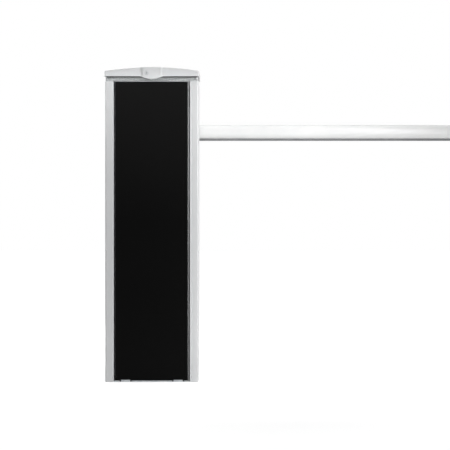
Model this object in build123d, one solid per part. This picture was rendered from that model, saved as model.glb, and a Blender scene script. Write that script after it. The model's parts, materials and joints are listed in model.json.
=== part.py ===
from build123d import *
import math
import os

# Boom barrier: a slim cabinet whose shaft leaves at the back and carries the boom.
# X runs to the right along the closed boom, Y runs from the door to the back, Z is up.
# The origin is the centre of the base on the floor. All lengths are in millimetres.

# Cabinet
body_width = 320.0
body_depth = 225.0
overall_height = 1080.0
overrun = 20.0  # how far a cut runs past the face that it leaves
screw_clearance = 0.25
fit_clearance = 0.05  # radial, on shafts and pins
touch_gap = 0.3  # between curved or moving neighbours

# Extruded side profiles
profile_wall = 3.0
profile_front_width = 29.5
profile_rear_width = 25.0
profile_corner_radius = 4.0
lip_depth = 17.5
lip_wall = 2.5
fin_to_panel = 43.5  # from the fin that carries the mechanism plate to the back sheet
fin_width = 25.0
groove_lip = 8.0
screw_port_radius = 4.5
screw_port_bore = 2.4
screw_port_sink = 0.8  # into the walls beside it

# Base plate
base_thickness = 5.0
base_side_gap = 0.3
base_front_setback = 0.5
base_ear_front = 20.0  # from the front face
base_flange_height = 40.0
anchor_inset = 15.2  # from the side edge of the plate to the middle of the hole
anchor_spacing_y = 150.0
anchor_hole_radius = 7.0
inlet_radius = 35.0
hook_inset = 36.7  # from the side edge of the door to the middle of the hook
hook_width = 31.0
hook_thickness = 5.0
hook_setback = 4.0
hook_bottom = 0.7
hook_rise = 2.4  # above the plate
hook_notch_width = 41.0
hook_notch_depth = 14.0

# Door
door_gap = 3.8  # each side, to the profiles
door_setback = 1.5
door_sheet = 1.5
door_return = 14.0
door_bend_radius = 3.0
door_bottom_gap = 0.6
door_top_gap = 1.2
door_ear_width = 3.8
door_ear_drop = 4.2
door_notch_height = 2.4
door_hook_gap = 0.6

# Rear panel
rear_sheet = 2.0
rear_panel_gap = 0.3
shaft_opening_radius = 30.0
seal_ring_width = 8.0
seal_ring_thickness = 4.0

# Mechanism plate and its bearings
plate_thickness = 6.0
plate_height = 455.0
plate_top_gap = 78.0  # below the top of the profiles
shaft_radius = 17.5
bearing_flange = 74.0
bearing_flange_thickness = 9.0
bearing_nose_radius = 30.0
bearing_depth = 22.0
bearing_bolt_spacing = 54.0
bearing_corner_radius = 12.0
bolt_radius = 4.0
head_radius_share = 1.75
head_height_share = 1.3
thread_end = 1.5  # of a bolt past its nut
plate_bolt_end = 22.0

# Balance lever on the main shaft
lever_thickness = 12.0
lever_gap = 7.0  # between the gearbox cover and the crank
lever_hub_radius = 30.0
lever_hub_length = 26.0
lever_end_radius = 15.0
lever_angle = 45.0
lever_headroom = 23.4  # from the spring pin up to the control tray
spring_arm = 92.0
drive_arm = 80.0
pin_radius = 6.0
pin_collar_radius = 9.5
pin_collar_length = 8.0
pin_head_radius = 10.0
pin_head_length = 4.0
eye_width = 20.0
eye_radius = 14.0
key_width = 10.0
key_height = 8.0
key_length = 22.0

# Balance spring
wire_radius = 3.5
coil_radius = 28.0
coil_turns = 26
coil_gap = 5.3
coil_top_drop = 85.0  # from the spring pin to the top of the coil
plug_length = 20.0
plug_flange_thickness = 6.0
plug_flange_radius = 32.0
plug_neck_radius = 8.0
spring_rod_radius = 7.0
spring_rod_tail = 30.0
bracket_height = 62.0
bracket_width = 52.0
bracket_depth = 38.0
bracket_sheet = 6.0
bracket_foot = 26.0
nut_height = 10.0
nut_radius = 12.5

# Gear motor
gear_drop = 255.0  # from the main shaft to the output shaft of the gearbox
gear_width = 100.0
gear_height = 104.0
gear_depth = 60.0
gear_cover_thickness = 10.0
gear_corner_radius = 14.0
gear_bolt_inset = 12.0
output_radius = 14.0
output_bore_depth = 44.0
crank_hub_radius = 22.0
crank_hub_length = 20.0
motor_radius = 31.5
motor_length = 128.0
motor_flange_thickness = 12.0
motor_flange_width = 64.0
motor_flange_corner = 10.0
motor_cap_length = 34.0
motor_cap_step = 2.5
motor_cap_fillet = 5.0
release_offset_x = -8.0
release_offset_z = -40.0
release_radius = 9.0
release_length = 14.0
release_wing = 24.0
release_wing_thickness = 6.0
release_shank_radius = 5.0
release_shank_depth = 8.0

# Connecting rod
rod_bar_radius = 9.0
rod_shank_radius = 6.0
rod_shank_length = 34.0
rod_nut_height = 7.0
rod_nut_radius = 10.5

# End stops
stop_share = 0.45  # where the buffers meet the drive arm, as a share of its length
stop_post_radius = 12.0
stop_post_offset = 27.0
stop_bolt_radius = 5.0
stop_bolt_length = 34.0
buffer_radius = 8.0
buffer_length = 7.0
stop_nut_height = 6.0
stop_nut_radius = 9.0

# Boom and its holder behind the cabinet
hub_gap = 3.5
hub_boss_radius = 30.0
hub_boss_length = 20.0
hub_flange_radius = 50.0
hub_flange_length = 12.0
hub_bolt_radius = 3.0
hub_bolt_bite = 10.0  # into the boom holder
holder_wall = 5.0
holder_left = 75.0
holder_right = 125.0
holder_fit = 0.3
holder_corner_radius = 6.0
holder_cover_thickness = 5.0
holder_bolt_inset = 18.0
holder_flange_height = 16.0
boom_height = 50.0
boom_depth = 40.0
boom_wall = 2.0
boom_rise = 3.0  # centre of the tube above the shaft
boom_length = 3000.0
boom_root = 60.0
edge_width = 14.0
edge_drop = 6.5
edge_neck = 5.0
edge_head_width = 10.0
edge_head_height = 3.0
end_cap_length = 8.0
end_cap_plug = 22.0
end_cap_fillet = 4.0

# Head of the cabinet
head_flange_thickness = 2.0
head_flange_setback = 2.0
head_skirt_wall = 3.0
head_skirt_height = 17.0
head_skirt_front = 17.5
head_skirt_rear = 9.5
head_skirt_side = 31.0
lens_height = 12.4
lens_wall = 3.0
lens_setback = 1.2
lens_corner_radius = 7.0
seal_height = 3.0
seal_setback = 3.5
seal_width = 5.0
led_setback = 9.5
led_board_thickness = 1.6
led_board_height = 11.0
led_size = 5.0
led_depth = 1.6
led_pitch = 24.0

# Lid
lid_overhang = 2.5
lid_gap = 0.3
lid_wall = 3.0
lid_side_height = 18.2
lid_crown_rise = 12.6  # of the arch, above its sides
lid_corner_radius = 6.0
lid_edge_radius = 2.5
lid_rim_width = 9.0
lid_rim_thickness = 3.0
nose_face_width = 60.0
nose_root_width = 74.0
nose_depth = 8.0
nose_wall = 3.0
tongue_half_width = 48.0
tongue_drop = 11.0
tongue_gap = 0.6

# Lid hinges and lock
hinge_spacing = 180.0
hinge_width = 40.0
hinge_middle = 16.0
hinge_play = 0.4
knuckle_radius = 4.5
hinge_pin_radius = 2.5
hinge_sheet = 2.5
hinge_axis_rise = 2.7  # above the lower edge of the lid
hinge_leaf_height = 14.0
hinge_leg_drop = 44.0
hinge_foot_height = 26.0
hinge_shelf_drop = 10.0
lock_offset = -17.0
lock_drop = 20.0  # from the crown to the axis of the lock
lock_barrel_radius = 8.5
lock_plug_radius = 6.0
lock_length = 28.0
lock_proud = 1.2
lock_slot_width = 1.8
lock_slot_height = 9.0
lock_slot_depth = 8.0
lock_cam_length = 26.0
lock_cam_width = 10.0
lock_cam_thickness = 2.5
strike_sheet = 2.0
strike_depth = 8.0
strike_cover = 10.0
strike_gap = 0.8

# Door catches
catch_spacing = 120.0
catch_width = 36.0
catch_height = 14.0
catch_drop = 5.5
catch_gap = 0.5

# Control unit under the lid
tray_gap = 0.5
tray_wall = 2.5
tray_depth = 64.0
tray_lift = 8.0  # of its rim above the lower edge of the head skirt
tray_corner_radius = 5.0
board_thickness = 1.6
board_margin = 14.0
standoff_height = 6.0
standoff_radius = 3.5
terminal_height = 12.0
terminal_depth = 10.0
terminal_pitch = 30.0
terminal_chamfer = 1.6
terminal_count = 6
terminal_ports = 3
terminal_port_width = 5.6
terminal_port_rise = 2.0
terminal_port_height = 4.0
transformer_width = 62.0
transformer_depth = 50.0
transformer_height = 40.0
transformer_band = 14.0
transformer_coil_depth = 66.0
coil_edge_radius = 1.6
capacitor_radius = 8.0
capacitor_height = 26.0
capacitor_count = 2
relay_width = 16.0
relay_depth = 20.0
relay_height = 15.0
relay_count = 3
part_gap = 3.2  # between parts on the board
gland_radius = 10.0
gland_flange_radius = 13.0
gland_length = 18.0
gland_flange_thickness = 5.0
gland_bore = 5.0
gland_spacing = 34.0
gland_count = 4

# Places worked out from the sizes above
front = -body_depth / 2
back = body_depth / 2
side = body_width / 2
profile_inner = side - profile_wall
opening_half = side - profile_front_width
nut_thread = bolt_radius * head_height_share + thread_end
rear_panel_back = back - profile_wall
rear_panel_front = rear_panel_back - rear_sheet
fin_front = rear_panel_front - fin_to_panel

# Heights, from the crown of the lid down to the shafts
lid_shoulder = overall_height - lid_crown_rise
lid_bottom = lid_shoulder - lid_side_height
seal_top = lid_bottom - lid_gap
lens_top = seal_top - seal_height
flange_top = lens_top - lens_height
profile_top = flange_top - head_flange_thickness
skirt_bottom = profile_top - head_skirt_height
tray_top = skirt_bottom + tray_lift
tray_bottom = tray_top - tray_depth
board_bottom = tray_bottom + tray_wall + standoff_height
board_top = board_bottom + board_thickness
arm_run_share = math.cos(math.radians(lever_angle))
arm_rise_share = math.sin(math.radians(lever_angle))
spring_pin_z = tray_bottom - lever_headroom
shaft_height = spring_pin_z - spring_arm * arm_rise_share
gear_axis_z = shaft_height - gear_drop
plate_top = profile_top - plate_top_gap
plate_bottom = plate_top - plate_height

# Mechanism
plate_back = fin_front
plate_front = plate_back - plate_thickness
port_span = 2 * screw_port_radius - screw_port_sink
plate_half = profile_inner - port_span - base_side_gap
plate_bolt_x = (profile_inner - fin_width + plate_half) / 2
gear_front = plate_front - gear_depth
crank_back = gear_front - lever_gap
crank_front = crank_back - lever_thickness
eye_back = crank_front - pin_collar_length
eye_middle = eye_back - eye_width / 2
eye_front = eye_back - eye_width
spring_x = -spring_arm * arm_run_share
drive_x = drive_arm * arm_run_share
drive_pin_z = shaft_height - drive_arm * arm_rise_share
crank_pin_z = gear_axis_z - drive_arm * arm_rise_share
coil_pitch = 2 * wire_radius + coil_gap
coil_slope = coil_pitch / math.hypot(2 * math.pi * coil_radius, coil_pitch)
coil_tail = 2 * wire_radius
coil_length = coil_pitch * (coil_turns - 1) + 2 * wire_radius + 2 * coil_tail * coil_slope
coil_top = spring_pin_z - coil_top_drop
coil_bottom = coil_top - coil_length

# Boom
hub_front = back + hub_gap
hub_back = hub_front + hub_boss_length + hub_flange_length
holder_front = hub_back
boom_front = holder_front + holder_wall + holder_fit
boom_middle = boom_front + boom_depth / 2
boom_back = boom_front + boom_depth
boom_z = shaft_height + boom_rise
holder_back = boom_back + holder_fit
holder_half = boom_height / 2 + edge_drop + holder_fit + holder_wall

# Lid, its hinges and lock
lid_side = side + lid_overhang
lid_front = front - lid_overhang
lid_back = back + lid_overhang
crown_radius = (lid_side ** 2 + lid_crown_rise ** 2) / (2 * lid_crown_rise)
nose_front = lid_front - nose_depth
lock_z = overall_height - lock_drop
lock_front = nose_front - lock_proud
lock_back = lock_front + lock_length
hinge_y = lid_back + knuckle_radius + touch_gap
hinge_z = lid_bottom + hinge_axis_rise

# Door
door_front = front + door_setback
door_bottom = base_thickness + door_bottom_gap
door_top = profile_top - door_top_gap
door_half = opening_half - door_gap
hook_x = door_half - hook_inset

# Control unit
skirt_front = front + head_skirt_front
skirt_back = rear_panel_front - head_skirt_rear
skirt_side = side - head_skirt_side
tray_front = skirt_front + head_skirt_wall + tray_gap
tray_back = skirt_back - head_skirt_wall - tray_gap
tray_side = skirt_side - head_skirt_wall - tray_gap


def block(x, y, z):
    """A rectangular solid between three pairs of limits."""
    middle = [(span[0] + span[1]) / 2 for span in (x, y, z)]
    size = [span[1] - span[0] for span in (x, y, z)]
    return Pos(*middle) * Box(*size)


def round_bar(axis, centre, radius, span):
    """A round bar along X, Y or Z, through a centre that is given in the other two axes."""
    middle = (span[0] + span[1]) / 2
    bar = Cylinder(radius, span[1] - span[0])
    if axis == "X":
        return Pos(middle, *centre) * Rot(0, 90, 0) * bar
    if axis == "Y":
        return Pos(centre[0], middle, centre[1]) * Rot(90, 0, 0) * bar
    return Pos(*centre, middle) * bar


def ring(axis, centre, outer, inner, span):
    """A round bar with a bore."""
    cut = (span[0] - overrun, span[1] + overrun)
    return round_bar(axis, centre, outer, span) - round_bar(axis, centre, inner, cut)


def hexagon(place, radius, height):
    """A hexagonal prism that stands on its place's Z axis."""
    return place * extrude(RegularPolygon(radius, 6), height)


def bolt(place, radius, length):
    """A hexagon bolt: its head stands on the place, its shank runs back from it."""
    shank = place * Pos(0, 0, -length / 2) * Cylinder(radius, length)
    return hexagon(place, radius * head_radius_share, radius * head_height_share) + shank


def nut(place, radius, bore, height):
    """A hexagon nut that stands on its place's Z axis."""
    hole = place * Pos(0, 0, height / 2) * Cylinder(bore + fit_clearance, height + 2 * overrun)
    return hexagon(place, radius, height) - hole


def screw_nut(place):
    """The nut of the usual bolt, standing on its place's Z axis."""
    return nut(place, bolt_radius * head_radius_share, bolt_radius, bolt_radius * head_height_share)


def facing_front(x, y, z):
    """A place whose Z axis points at the viewer of the door."""
    return Pos(x, y, z) * Rot(90, 0, 0)


def facing_back(x, y, z):
    """A place whose Z axis points away from the door."""
    return Pos(x, y, z) * Rot(-90, 0, 0)


def y_prism(sketch, y):
    """A sketch drawn in X and Z, made solid between two depths."""
    return Pos(0, y[0], 0) * (Rot(90, 0, 0) * extrude(sketch, -(y[1] - y[0])))


def vertical_edges(solid):
    """The edges that run along Z."""
    return solid.edges().filter_by(Axis.Z)


def mirrored(shape):
    """The same piece on the other side of the middle plane."""
    return mirror(shape, Plane.YZ)


def right_profile():
    """The extruded section: face, lip, outer wall, fin, rear face, panel groove and screw ports."""
    inner_back = back - profile_wall
    outline = Pos((side + profile_inner) / 2, 0) * Rectangle(profile_wall, body_depth)
    outline += flat((opening_half, side), (front, front + profile_wall))
    outline += flat((opening_half, opening_half + lip_wall), (front, front + lip_depth))
    outline += flat((profile_inner - fin_width, side), (fin_front, fin_front + profile_wall))
    outline += flat((side - profile_rear_width, side), (inner_back, back))
    groove = rear_panel_front - rear_panel_gap
    outline += flat((profile_inner - groove_lip, side), (groove - profile_wall, groove))
    corners = outline.vertices().filter_by(lambda v: abs(v.X - side) < fit_clearance)
    outline = fillet(corners, profile_corner_radius)
    ports = Sketch()
    reach = screw_port_radius - screw_port_sink
    for port_y in (front + profile_wall + reach, fin_front - reach):
        place = Pos(profile_inner - reach, port_y)
        outline += place * Circle(screw_port_radius)
        ports += place * Circle(screw_port_bore)
    return extrude(outline - ports, profile_top)


def flat(x, y):
    """A rectangle between two pairs of limits."""
    return Pos((x[0] + x[1]) / 2, (y[0] + y[1]) / 2) * Rectangle(x[1] - x[0], y[1] - y[0])


def base_plate():
    """The floor plate: ears with flanges inside the profiles, and the two door hooks."""
    tongue_half = opening_half - base_side_gap
    ear_half = profile_inner - base_side_gap
    ear_y = (front + base_ear_front, fin_front - base_side_gap)
    plate_y = (front + base_front_setback, rear_panel_front - base_side_gap)
    z = (0, base_thickness)
    plate = block((-tongue_half, tongue_half), plate_y, z)
    plate += block((-ear_half, ear_half), ear_y, z)
    port_cut = port_span + base_side_gap
    for sign in (1, -1):
        flange_x = sorted((sign * ear_half, sign * (ear_half - profile_wall)))
        flange_y = (ear_y[0], ear_y[1] - port_cut)
        plate += block(flange_x, flange_y, (0, base_thickness + base_flange_height))
        corner_x = sorted((sign * (ear_half + overrun), sign * (ear_half - port_cut)))
        plate -= block(corner_x, (ear_y[1] - port_cut, ear_y[1] + overrun), (-overrun, overrun))
        middle = sign * hook_x
        notch_x = (middle - hook_notch_width / 2, middle + hook_notch_width / 2)
        notch_back = plate_y[0] + hook_notch_depth
        plate -= block(notch_x, (plate_y[0] - overrun, notch_back), (-overrun, overrun))
        lug_x = (middle - hook_width / 2, middle + hook_width / 2)
        lug_front = front + hook_setback
        lug_z = (hook_bottom, base_thickness + hook_rise)
        plate += block(lug_x, (lug_front, lug_front + hook_thickness), lug_z)
        plate += block(lug_x, (lug_front, notch_back + touch_gap), (hook_bottom, base_thickness))
    anchor_spacing_x = 2 * (tongue_half - anchor_inset)
    for x, y in corner_places(anchor_spacing_x, anchor_spacing_y):
        plate -= round_bar("Z", (x, y), anchor_hole_radius, (-overrun, overrun))
    plate -= round_bar("Z", (0, 0), inlet_radius, (-overrun, overrun))
    for place in base_screw_places():
        plate -= screw_hole(place)
    for foot_x in bracket_foot_places():
        plate -= round_bar("Z", foot_x, bolt_radius + screw_clearance, (-overrun, overrun))
    return plate


def corner_places(width, depth):
    """The four corners of a rectangle round the middle."""
    return [(sx * width / 2, sy * depth / 2) for sx in (-1, 1) for sy in (-1, 1)]


def base_screw_places():
    """The screws that join the flanges of the base to the profiles, heads inside."""
    inner = profile_inner - base_side_gap - profile_wall
    height = base_thickness + base_flange_height / 2
    depths = (front + base_ear_front * 2, 0)
    places = []
    for y in depths:
        places.append(Pos(inner, y, height) * Rot(0, -90, 0))
        places.append(Pos(-inner, y, height) * Rot(0, 90, 0))
    return places


def screw_hole(place):
    """A clearance hole through the flange and the profile's wall behind it."""
    return place * Cylinder(bolt_radius + screw_clearance, 2 * overrun)


def frame_screws():
    """Four screws from the base into the walls of the profiles."""
    length = profile_wall + base_side_gap + profile_wall
    return [bolt(place, bolt_radius, length) for place in base_screw_places()]


def rear_panel():
    """The back sheet in the grooves of the profiles, with the opening for the shaft."""
    half = profile_inner - rear_panel_gap
    sheet = block((-half, half), (rear_panel_front, rear_panel_back), (0, profile_top))
    sheet -= round_bar("Y", (0, shaft_height), shaft_opening_radius, (0, back + overrun))
    return sheet


def shaft_seal():
    """A rubber ring in the opening of the back sheet, clear of the shaft."""
    inner = shaft_radius + touch_gap
    outer = shaft_opening_radius + seal_ring_width / 2
    bead = seal_ring_thickness / 2
    body = ring("Y", (0, shaft_height), outer, inner, (rear_panel_front - bead, rear_panel_back + bead))
    groove = (rear_panel_front - rear_panel_gap, rear_panel_back + rear_panel_gap)
    seat = shaft_opening_radius - touch_gap
    return body - ring("Y", (0, shaft_height), outer + overrun, seat, groove)


def mechanism_plate():
    """The steel plate between the profiles that carries the bearings, the motor and the stops."""
    span = (plate_front, plate_back)
    plate = block((-plate_half, plate_half), span, (plate_bottom, plate_top))
    cut = (plate_front - overrun, plate_back + overrun)
    plate -= round_bar("Y", (0, shaft_height), shaft_radius + touch_gap, cut)
    holes = bearing_bolt_places() + gear_bolt_places() + plate_bolt_places() + stop_places()
    for x, z in holes:
        plate -= round_bar("Y", (x, z), bolt_radius + screw_clearance, cut)
    return plate


def bearing_bolt_places():
    """The four bolts round the main shaft, as X and Z."""
    return [(x, shaft_height + z) for x, z in corner_places(bearing_bolt_spacing, bearing_bolt_spacing)]


def gear_bolt_places():
    """The four long bolts of the gearbox, as X and Z."""
    width = gear_width - 2 * gear_bolt_inset
    height = gear_height - 2 * gear_bolt_inset
    return [(x, gear_axis_z + z) for x, z in corner_places(width, height)]


def plate_bolt_places():
    """The bolts of the mechanism plate into the fins of the profiles, as X and Z."""
    low = plate_bottom + plate_bolt_end
    high = plate_top - plate_bolt_end
    return [(sign * plate_bolt_x, z) for sign in (1, -1) for z in (low, high)]


def bearing(y_flange, direction):
    """A square flange housing: the flange lies on the plate, the nose points along direction."""
    flange_y = sorted((y_flange, y_flange + direction * bearing_flange_thickness))
    nose_y = sorted((y_flange, y_flange + direction * bearing_depth))
    half = bearing_flange / 2
    z = (shaft_height - half, shaft_height + half)
    flange = block((-half, half), flange_y, z)
    flange = fillet(flange.edges().filter_by(Axis.Y), bearing_corner_radius)
    housing = flange + round_bar("Y", (0, shaft_height), bearing_nose_radius, nose_y)
    cut = (nose_y[0] - overrun, nose_y[1] + overrun)
    housing -= round_bar("Y", (0, shaft_height), shaft_radius + fit_clearance, cut)
    for place in bearing_bolt_places():
        housing -= round_bar("Y", place, bolt_radius + screw_clearance, cut)
    return housing


def bearing_bolts():
    """Four bolts through both housings and the plate, with their nuts at the back."""
    grip = 2 * bearing_flange_thickness + plate_thickness
    solids = []
    for x, z in bearing_bolt_places():
        y = plate_front - bearing_flange_thickness
        solids.append(bolt(facing_front(x, y, z), bolt_radius, grip + nut_thread))
        solids.append(screw_nut(facing_back(x, y + grip, z)))
    return solids


def plate_bolts():
    """Four bolts that hold the mechanism plate to the fins, with nuts behind."""
    grip = plate_thickness + profile_wall
    solids = []
    for x, z in plate_bolt_places():
        solids.append(bolt(facing_front(x, plate_front, z), bolt_radius, grip + nut_thread))
        solids.append(screw_nut(facing_back(x, plate_front + grip, z)))
    return solids


def drilled_profile():
    """The right profile with the holes of the base screws and of the plate bolts."""
    profile = right_profile()
    for place in base_screw_places()[::2]:
        profile -= screw_hole(place)
    for x, z in plate_bolt_places():
        if x > 0:
            profile -= round_bar("Y", (x, z), bolt_radius + screw_clearance, (0, fin_front + overrun))
    return profile


def lever_end(angle, reach):
    """The X and Z of a lever's end, from its centre."""
    turn = math.radians(angle)
    return reach * math.cos(turn), reach * math.sin(turn)


def arm_sketch(hub, end, end_radius, centre):
    """The tapered outline of one arm, from its hub to its end, in X and Z."""
    circles = Pos(*centre) * Circle(hub)
    tip = Pos(centre[0] + end[0], centre[1] + end[1]) * Circle(end_radius)
    return make_hull(circles.edges() + tip.edges())


def balance_lever():
    """The forged two-armed lever: spring arm up to the left, drive arm down to the right."""
    centre = (0, shaft_height)
    spring_end = lever_end(180 - lever_angle, spring_arm)
    drive_end = lever_end(-lever_angle, drive_arm)
    outline = arm_sketch(lever_hub_radius - touch_gap, spring_end, lever_end_radius, centre)
    outline += arm_sketch(lever_hub_radius - touch_gap, drive_end, lever_end_radius, centre)
    lever = y_prism(outline, (crank_front, crank_back))
    hub_y = (crank_front - touch_gap, crank_front - touch_gap + lever_hub_length)
    lever += round_bar("Y", centre, lever_hub_radius, hub_y)
    cut = (hub_y[0] - overrun, hub_y[1] + overrun)
    lever -= round_bar("Y", centre, shaft_radius + fit_clearance, cut)
    for end in (spring_end, drive_end):
        place = (centre[0] + end[0], centre[1] + end[1])
        lever -= round_bar("Y", place, pin_radius + fit_clearance, cut)
    key_z = shaft_height + shaft_radius
    seat_z = (key_z - key_height, key_z + key_height / 2 + fit_clearance)
    return lever - block(key_span(fit_clearance), cut, seat_z)


def key_span(clearance):
    """The width of a key or of its seat."""
    return (-key_width / 2 - clearance, key_width / 2 + clearance)


def key_places():
    """Where the keys of the lever and of the boom hub start, along Y."""
    return (crank_front, hub_front + screw_clearance)


def main_shaft():
    """The main shaft, from the lever through both bearings and the back sheet to the hub."""
    span = (crank_front - touch_gap, hub_back - hub_flange_length / 2)
    shaft = round_bar("Y", (0, shaft_height), shaft_radius, span)
    shaft = chamfer(shaft.edges().filter_by(GeomType.CIRCLE), touch_gap)
    top = shaft_height + shaft_radius
    for start in key_places():
        seat_y = (start - fit_clearance, start + key_length + fit_clearance)
        seat_z = (top - key_height / 2 - fit_clearance, top + overrun)
        shaft -= block(key_span(fit_clearance), seat_y, seat_z)
    return shaft


def shaft_keys():
    """Two keys in the shaft's seats."""
    top = shaft_height + shaft_radius
    z = (top - key_height / 2, top + key_height / 2)
    return [block(key_span(0), (start, start + key_length), z) for start in key_places()]


def pin(x, z, y_back):
    """A shouldered pin through a lever: tail, collar, journal and head."""
    solid = round_bar("Y", (x, z), pin_radius, (eye_front - touch_gap, y_back))
    solid += round_bar("Y", (x, z), pin_collar_radius, (eye_back + touch_gap, crank_front))
    head = (eye_front - touch_gap - pin_head_length, eye_front - touch_gap)
    return solid + round_bar("Y", (x, z), pin_head_radius, head)


def lever_pins():
    """The spring pin and the drive pin of the balance lever."""
    return [pin(spring_x, spring_pin_z, crank_back), pin(drive_x, drive_pin_z, crank_back)]


def helix_point(half_turns):
    """A point of the coil and the direction there, counted in half turns from its lower end."""
    turn = math.pi * half_turns
    rise = coil_pitch / (2 * math.pi)
    point = Vector(
        spring_x + coil_radius * math.cos(turn),
        eye_middle + coil_radius * math.sin(turn),
        coil_bottom + coil_tail * coil_slope + wire_radius + rise * turn,
    )
    tangent = Vector(-coil_radius * math.sin(turn), coil_radius * math.cos(turn), rise)
    return point, tangent.normalized()


def biarc(start, end):
    """Two arcs that leave one point of the coil and reach the next along its directions."""
    (p1, t1), (p2, t2) = start, end
    v = p2 - p1
    t = t1 + t2
    spread = 2 * (1 - t1.dot(t2))
    reach = (-v.dot(t) + math.sqrt(v.dot(t) ** 2 + spread * v.dot(v))) / spread
    middle = (p1 + t1 * reach + p2 - t2 * reach) * 0.5
    first = Edge.make_tangent_arc(p1, t1, middle)
    second = Edge.make_tangent_arc(middle, (p2 - t2 * reach) - (p1 + t1 * reach), p2)
    return [first, second]


def coil_path():
    """The wire's centre line: half turns of two arcs each, with a short straight end."""
    stations = [helix_point(half_turns) for half_turns in range(2 * coil_turns - 1)]
    edges = []
    for start, end in zip(stations[:-1], stations[1:]):
        edges += biarc(start, end)
    first, last = stations[0], stations[-1]
    edges.insert(0, Edge.make_line(first[0] - first[1] * coil_tail, first[0]))
    edges.append(Edge.make_line(last[0], last[0] + last[1] * coil_tail))
    return Wire(edges)


def balance_spring():
    """The tension coil, stretched as it is with the boom down."""
    path = coil_path()
    section = Plane(origin=path @ 0, z_dir=path % 0) * Circle(wire_radius)
    spring = sweep(section, path)
    samples_per_turn = 24
    count = samples_per_turn * (coil_turns - 1)
    points = [path @ (i / count) for i in range(count + 1)]
    near = samples_per_turn // 2
    least = min(
        (a - b).length for i, a in enumerate(points) for b in points[i + near:i + 3 * near]
    )
    print("least gap of the coil to itself:", round(least - 2 * wire_radius, 2))
    expected = math.pi * wire_radius ** 2 * path.length
    print("coil volume over section times length:", round(spring.volume / expected, 4))
    return spring


def spring_eye():
    """The upper plug: a core in the coil, a flange on it, and an eye on the lever's pin."""
    core_radius = coil_radius - wire_radius - touch_gap
    flange_bottom = coil_top + touch_gap
    flange_top_z = flange_bottom + plug_flange_thickness
    centre = (spring_x, eye_middle)
    plug = round_bar("Z", centre, core_radius, (coil_top - plug_length, flange_bottom))
    plug += round_bar("Z", centre, plug_flange_radius, (flange_bottom, flange_top_z))
    plug += round_bar("Z", centre, plug_neck_radius, (flange_top_z, spring_pin_z - eye_radius / 2))
    plug += round_bar("Y", (spring_x, spring_pin_z), eye_radius, (eye_front, eye_back))
    hole = (eye_front - overrun, eye_back + overrun)
    return plug - round_bar("Y", (spring_x, spring_pin_z), pin_radius + fit_clearance, hole)


def spring_rod():
    """The lower plug and the long threaded rod that sets the spring's tension."""
    core_radius = coil_radius - wire_radius - touch_gap
    flange_top_z = coil_bottom - touch_gap
    flange_bottom = flange_top_z - plug_flange_thickness
    centre = (spring_x, eye_middle)
    rod = round_bar("Z", centre, core_radius, (flange_top_z, coil_bottom + plug_length))
    rod += round_bar("Z", centre, plug_flange_radius, (flange_bottom, flange_top_z))
    top = base_thickness + bracket_height
    tail = top - spring_rod_tail - bracket_sheet
    return rod + round_bar("Z", centre, spring_rod_radius, (tail, flange_bottom))


def spring_nuts():
    """One nut above the bracket's top and two under it."""
    top = base_thickness + bracket_height
    under = top - bracket_sheet
    starts = (top, under - nut_height, under - 2 * nut_height)
    nuts = []
    for start in starts:
        nuts.append(nut(Pos(spring_x, eye_middle, start), nut_radius, spring_rod_radius, nut_height))
    return nuts


def bracket_foot_places():
    """The two bolts of the spring bracket in the base, as X and Y."""
    reach = bracket_width / 2 + bracket_foot / 2
    return [(spring_x + sign * reach, eye_middle) for sign in (1, -1)]


def spring_bracket():
    """A folded steel hat on the base that holds the lower end of the spring."""
    top = base_thickness + bracket_height
    half = bracket_width / 2
    y = (eye_middle - bracket_depth / 2, eye_middle + bracket_depth / 2)
    hat = block((spring_x - half, spring_x + half), y, (base_thickness, top))
    inner = (spring_x - half + bracket_sheet, spring_x + half - bracket_sheet)
    hat -= block(inner, (y[0] - overrun, y[1] + overrun), (0, top - bracket_sheet))
    foot = half + bracket_foot
    feet = block((spring_x - foot, spring_x + foot), y, (base_thickness, base_thickness + bracket_sheet))
    hat += feet - block((spring_x - half, spring_x + half), y, (0, top))
    hat -= round_bar("Z", (spring_x, eye_middle), spring_rod_radius + screw_clearance, (0, top + overrun))
    for place in bracket_foot_places():
        hat -= round_bar("Z", place, bolt_radius + screw_clearance, (0, top + overrun))
    return hat


def bracket_bolts():
    """Two bolts through the feet of the bracket into the base."""
    height = base_thickness + bracket_sheet
    length = bracket_sheet + base_thickness / 2
    return [bolt(Pos(x, y, height), bolt_radius, length) for x, y in bracket_foot_places()]


def gear_blank(y):
    """The outline of the gearbox between two depths."""
    half = gear_width / 2
    z = (gear_axis_z - gear_height / 2, gear_axis_z + gear_height / 2)
    solid = block((-half, half), y, z)
    return fillet(solid.edges().filter_by(Axis.Y), gear_corner_radius)


def gear_holes(solid):
    """The solid less the holes of its four long bolts."""
    for place in gear_bolt_places():
        solid -= round_bar("Y", place, bolt_radius + screw_clearance, (front, back))
    return solid


def release_place():
    """The X and Z of the manual release."""
    return release_offset_x, gear_axis_z + release_offset_z


def gearbox_housing():
    """The cast housing, with the seat of the output shaft and the flange of the motor."""
    y = (gear_front + gear_cover_thickness, plate_front)
    housing = gear_holes(gear_blank(y))
    shaft_y = (gear_front - overrun, gear_front + output_bore_depth)
    housing -= round_bar("Y", (0, gear_axis_z), output_radius + fit_clearance, shaft_y)
    return housing


def gearbox_cover():
    """The front cover, with its bearing boss and the seat of the release knob."""
    cover = gear_holes(gear_blank((gear_front, gear_front + gear_cover_thickness)))
    cut = (gear_front - overrun, gear_front + gear_cover_thickness + overrun)
    cover -= round_bar("Y", (0, gear_axis_z), output_radius + fit_clearance, cut)
    seat = (gear_front - overrun, gear_front + release_shank_depth + fit_clearance)
    return cover - round_bar("Y", release_place(), release_shank_radius + fit_clearance, seat)


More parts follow.
